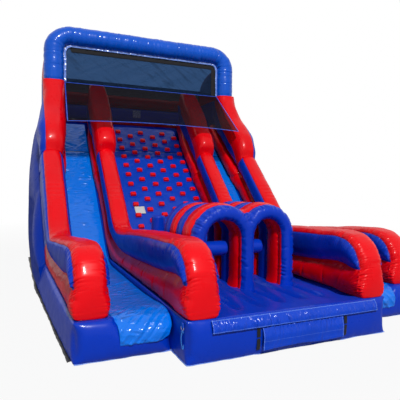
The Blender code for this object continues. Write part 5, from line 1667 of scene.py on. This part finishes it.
CAMERA_AT = (-2.993, -8.134, 1.890)
CAMERA_YAW, CAMERA_PITCH, CAMERA_ROLL = (math.radians(a) for a in (23.368, -1.514, 0.462))
PICTURE = 400
FOCAL = 427.014
CENTRE = (197.765, 194.325)
SENSOR = 36


def make_camera():
    sin, cos = math.sin, math.cos
    flat = cos(CAMERA_PITCH)
    ahead = Vector((sin(CAMERA_YAW) * flat, cos(CAMERA_YAW) * flat, sin(CAMERA_PITCH)))
    level = Vector((cos(CAMERA_YAW), -sin(CAMERA_YAW), 0))
    over = level.cross(ahead)
    right = level * cos(CAMERA_ROLL) + over * sin(CAMERA_ROLL)
    up = over * cos(CAMERA_ROLL) - level * sin(CAMERA_ROLL)
    camera = add_object("camera", bpy.data.cameras.new("camera"))
    turn = Matrix((right, up, -ahead)).transposed().to_4x4()
    camera.matrix_world = Matrix.Translation(CAMERA_AT) @ turn
    camera.data.sensor_width = SENSOR
    camera.data.lens = FOCAL / PICTURE * SENSOR
    camera.data.shift_x = (PICTURE / 2 - CENTRE[0]) / PICTURE
    camera.data.shift_y = (CENTRE[1] - PICTURE / 2) / PICTURE
    camera.data.clip_start, camera.data.clip_end = 0.1, 200
    bpy.context.scene.camera = camera


def lamp(name, place, target, size, power):
    light = bpy.data.lights.new(name, "AREA")
    light.shape = "DISK"
    light.size = size
    light.energy = power
    obj = add_object(name, light)
    obj.location = place
    obj.rotation_euler = (Vector(target) - Vector(place)).to_track_quat("-Z", "Y").to_euler()


def make_stage():
    scene = bpy.context.scene
    scene.view_settings.view_transform = "Standard"
    scene.world = bpy.data.worlds.new("studio")
    sky = Nodes(scene.world)
    sky.surface({"Color": (1, 1, 1, 1), "Strength": 1.0}, "Background")
    dim = sky.add("ShaderNodeBackground", {"Color": (0.80, 0.88, 1.0), "Strength": 0.15})
    shown = sky.tree.nodes["Background"].outputs[0]
    sky.blended(sky.seen("Is Glossy Ray"), dim, shown, "World Output")

    mesh = bpy.data.meshes.new("floor")
    corners = [(60 * a, 60 * b, -0.002) for a, b in ((-1, -1), (1, -1), (1, 1), (-1, 1))]
    mesh.from_pydata(corners, [], [(0, 1, 2, 3)])
    floor = add_object("floor", mesh)
    ground = material("floor")
    ground.surface({"Base Color": (0.50, 0.50, 0.50), "Roughness": 0.9, "Specular IOR Level": 0.0})
    glow = ground.add("ShaderNodeEmission", {"Strength": 1.0})
    away = ground.add("ShaderNodeVectorMath", {0: ground.place()}, "Value", operation="LENGTH")
    share = ground.maths("MULTIPLY", ground.seen(), ground.spread(away, 5.0, 14.0, 0.91, 1.0))
    ground.blended(share, ground.tree.nodes["Principled BSDF"].outputs[0], glow)
    mesh.materials.append(ground.owner)

    lamp("key", (-3.5, -27.0, 23.0), (0, -1, 1.5), 3.4, 10000)
    lamp("fill", (-9.0, -9.0, 6.0), (-1, 0, 2), 5.0, 40)


def main():
    make_camera()
    make_bases()
    make_climbing_wall()
    make_holds()
    make_wall_label()
    make_beds()
    make_liners()
    make_walls()
    make_tower()
    make_back_panels()
    make_rails()
    make_sleeves()
    make_arch()
    make_window()
    make_entry()
    make_tunnel()
    make_arms_and_posts()
    make_trim()
    make_hems()
    make_tether()
    make_stage()


main()
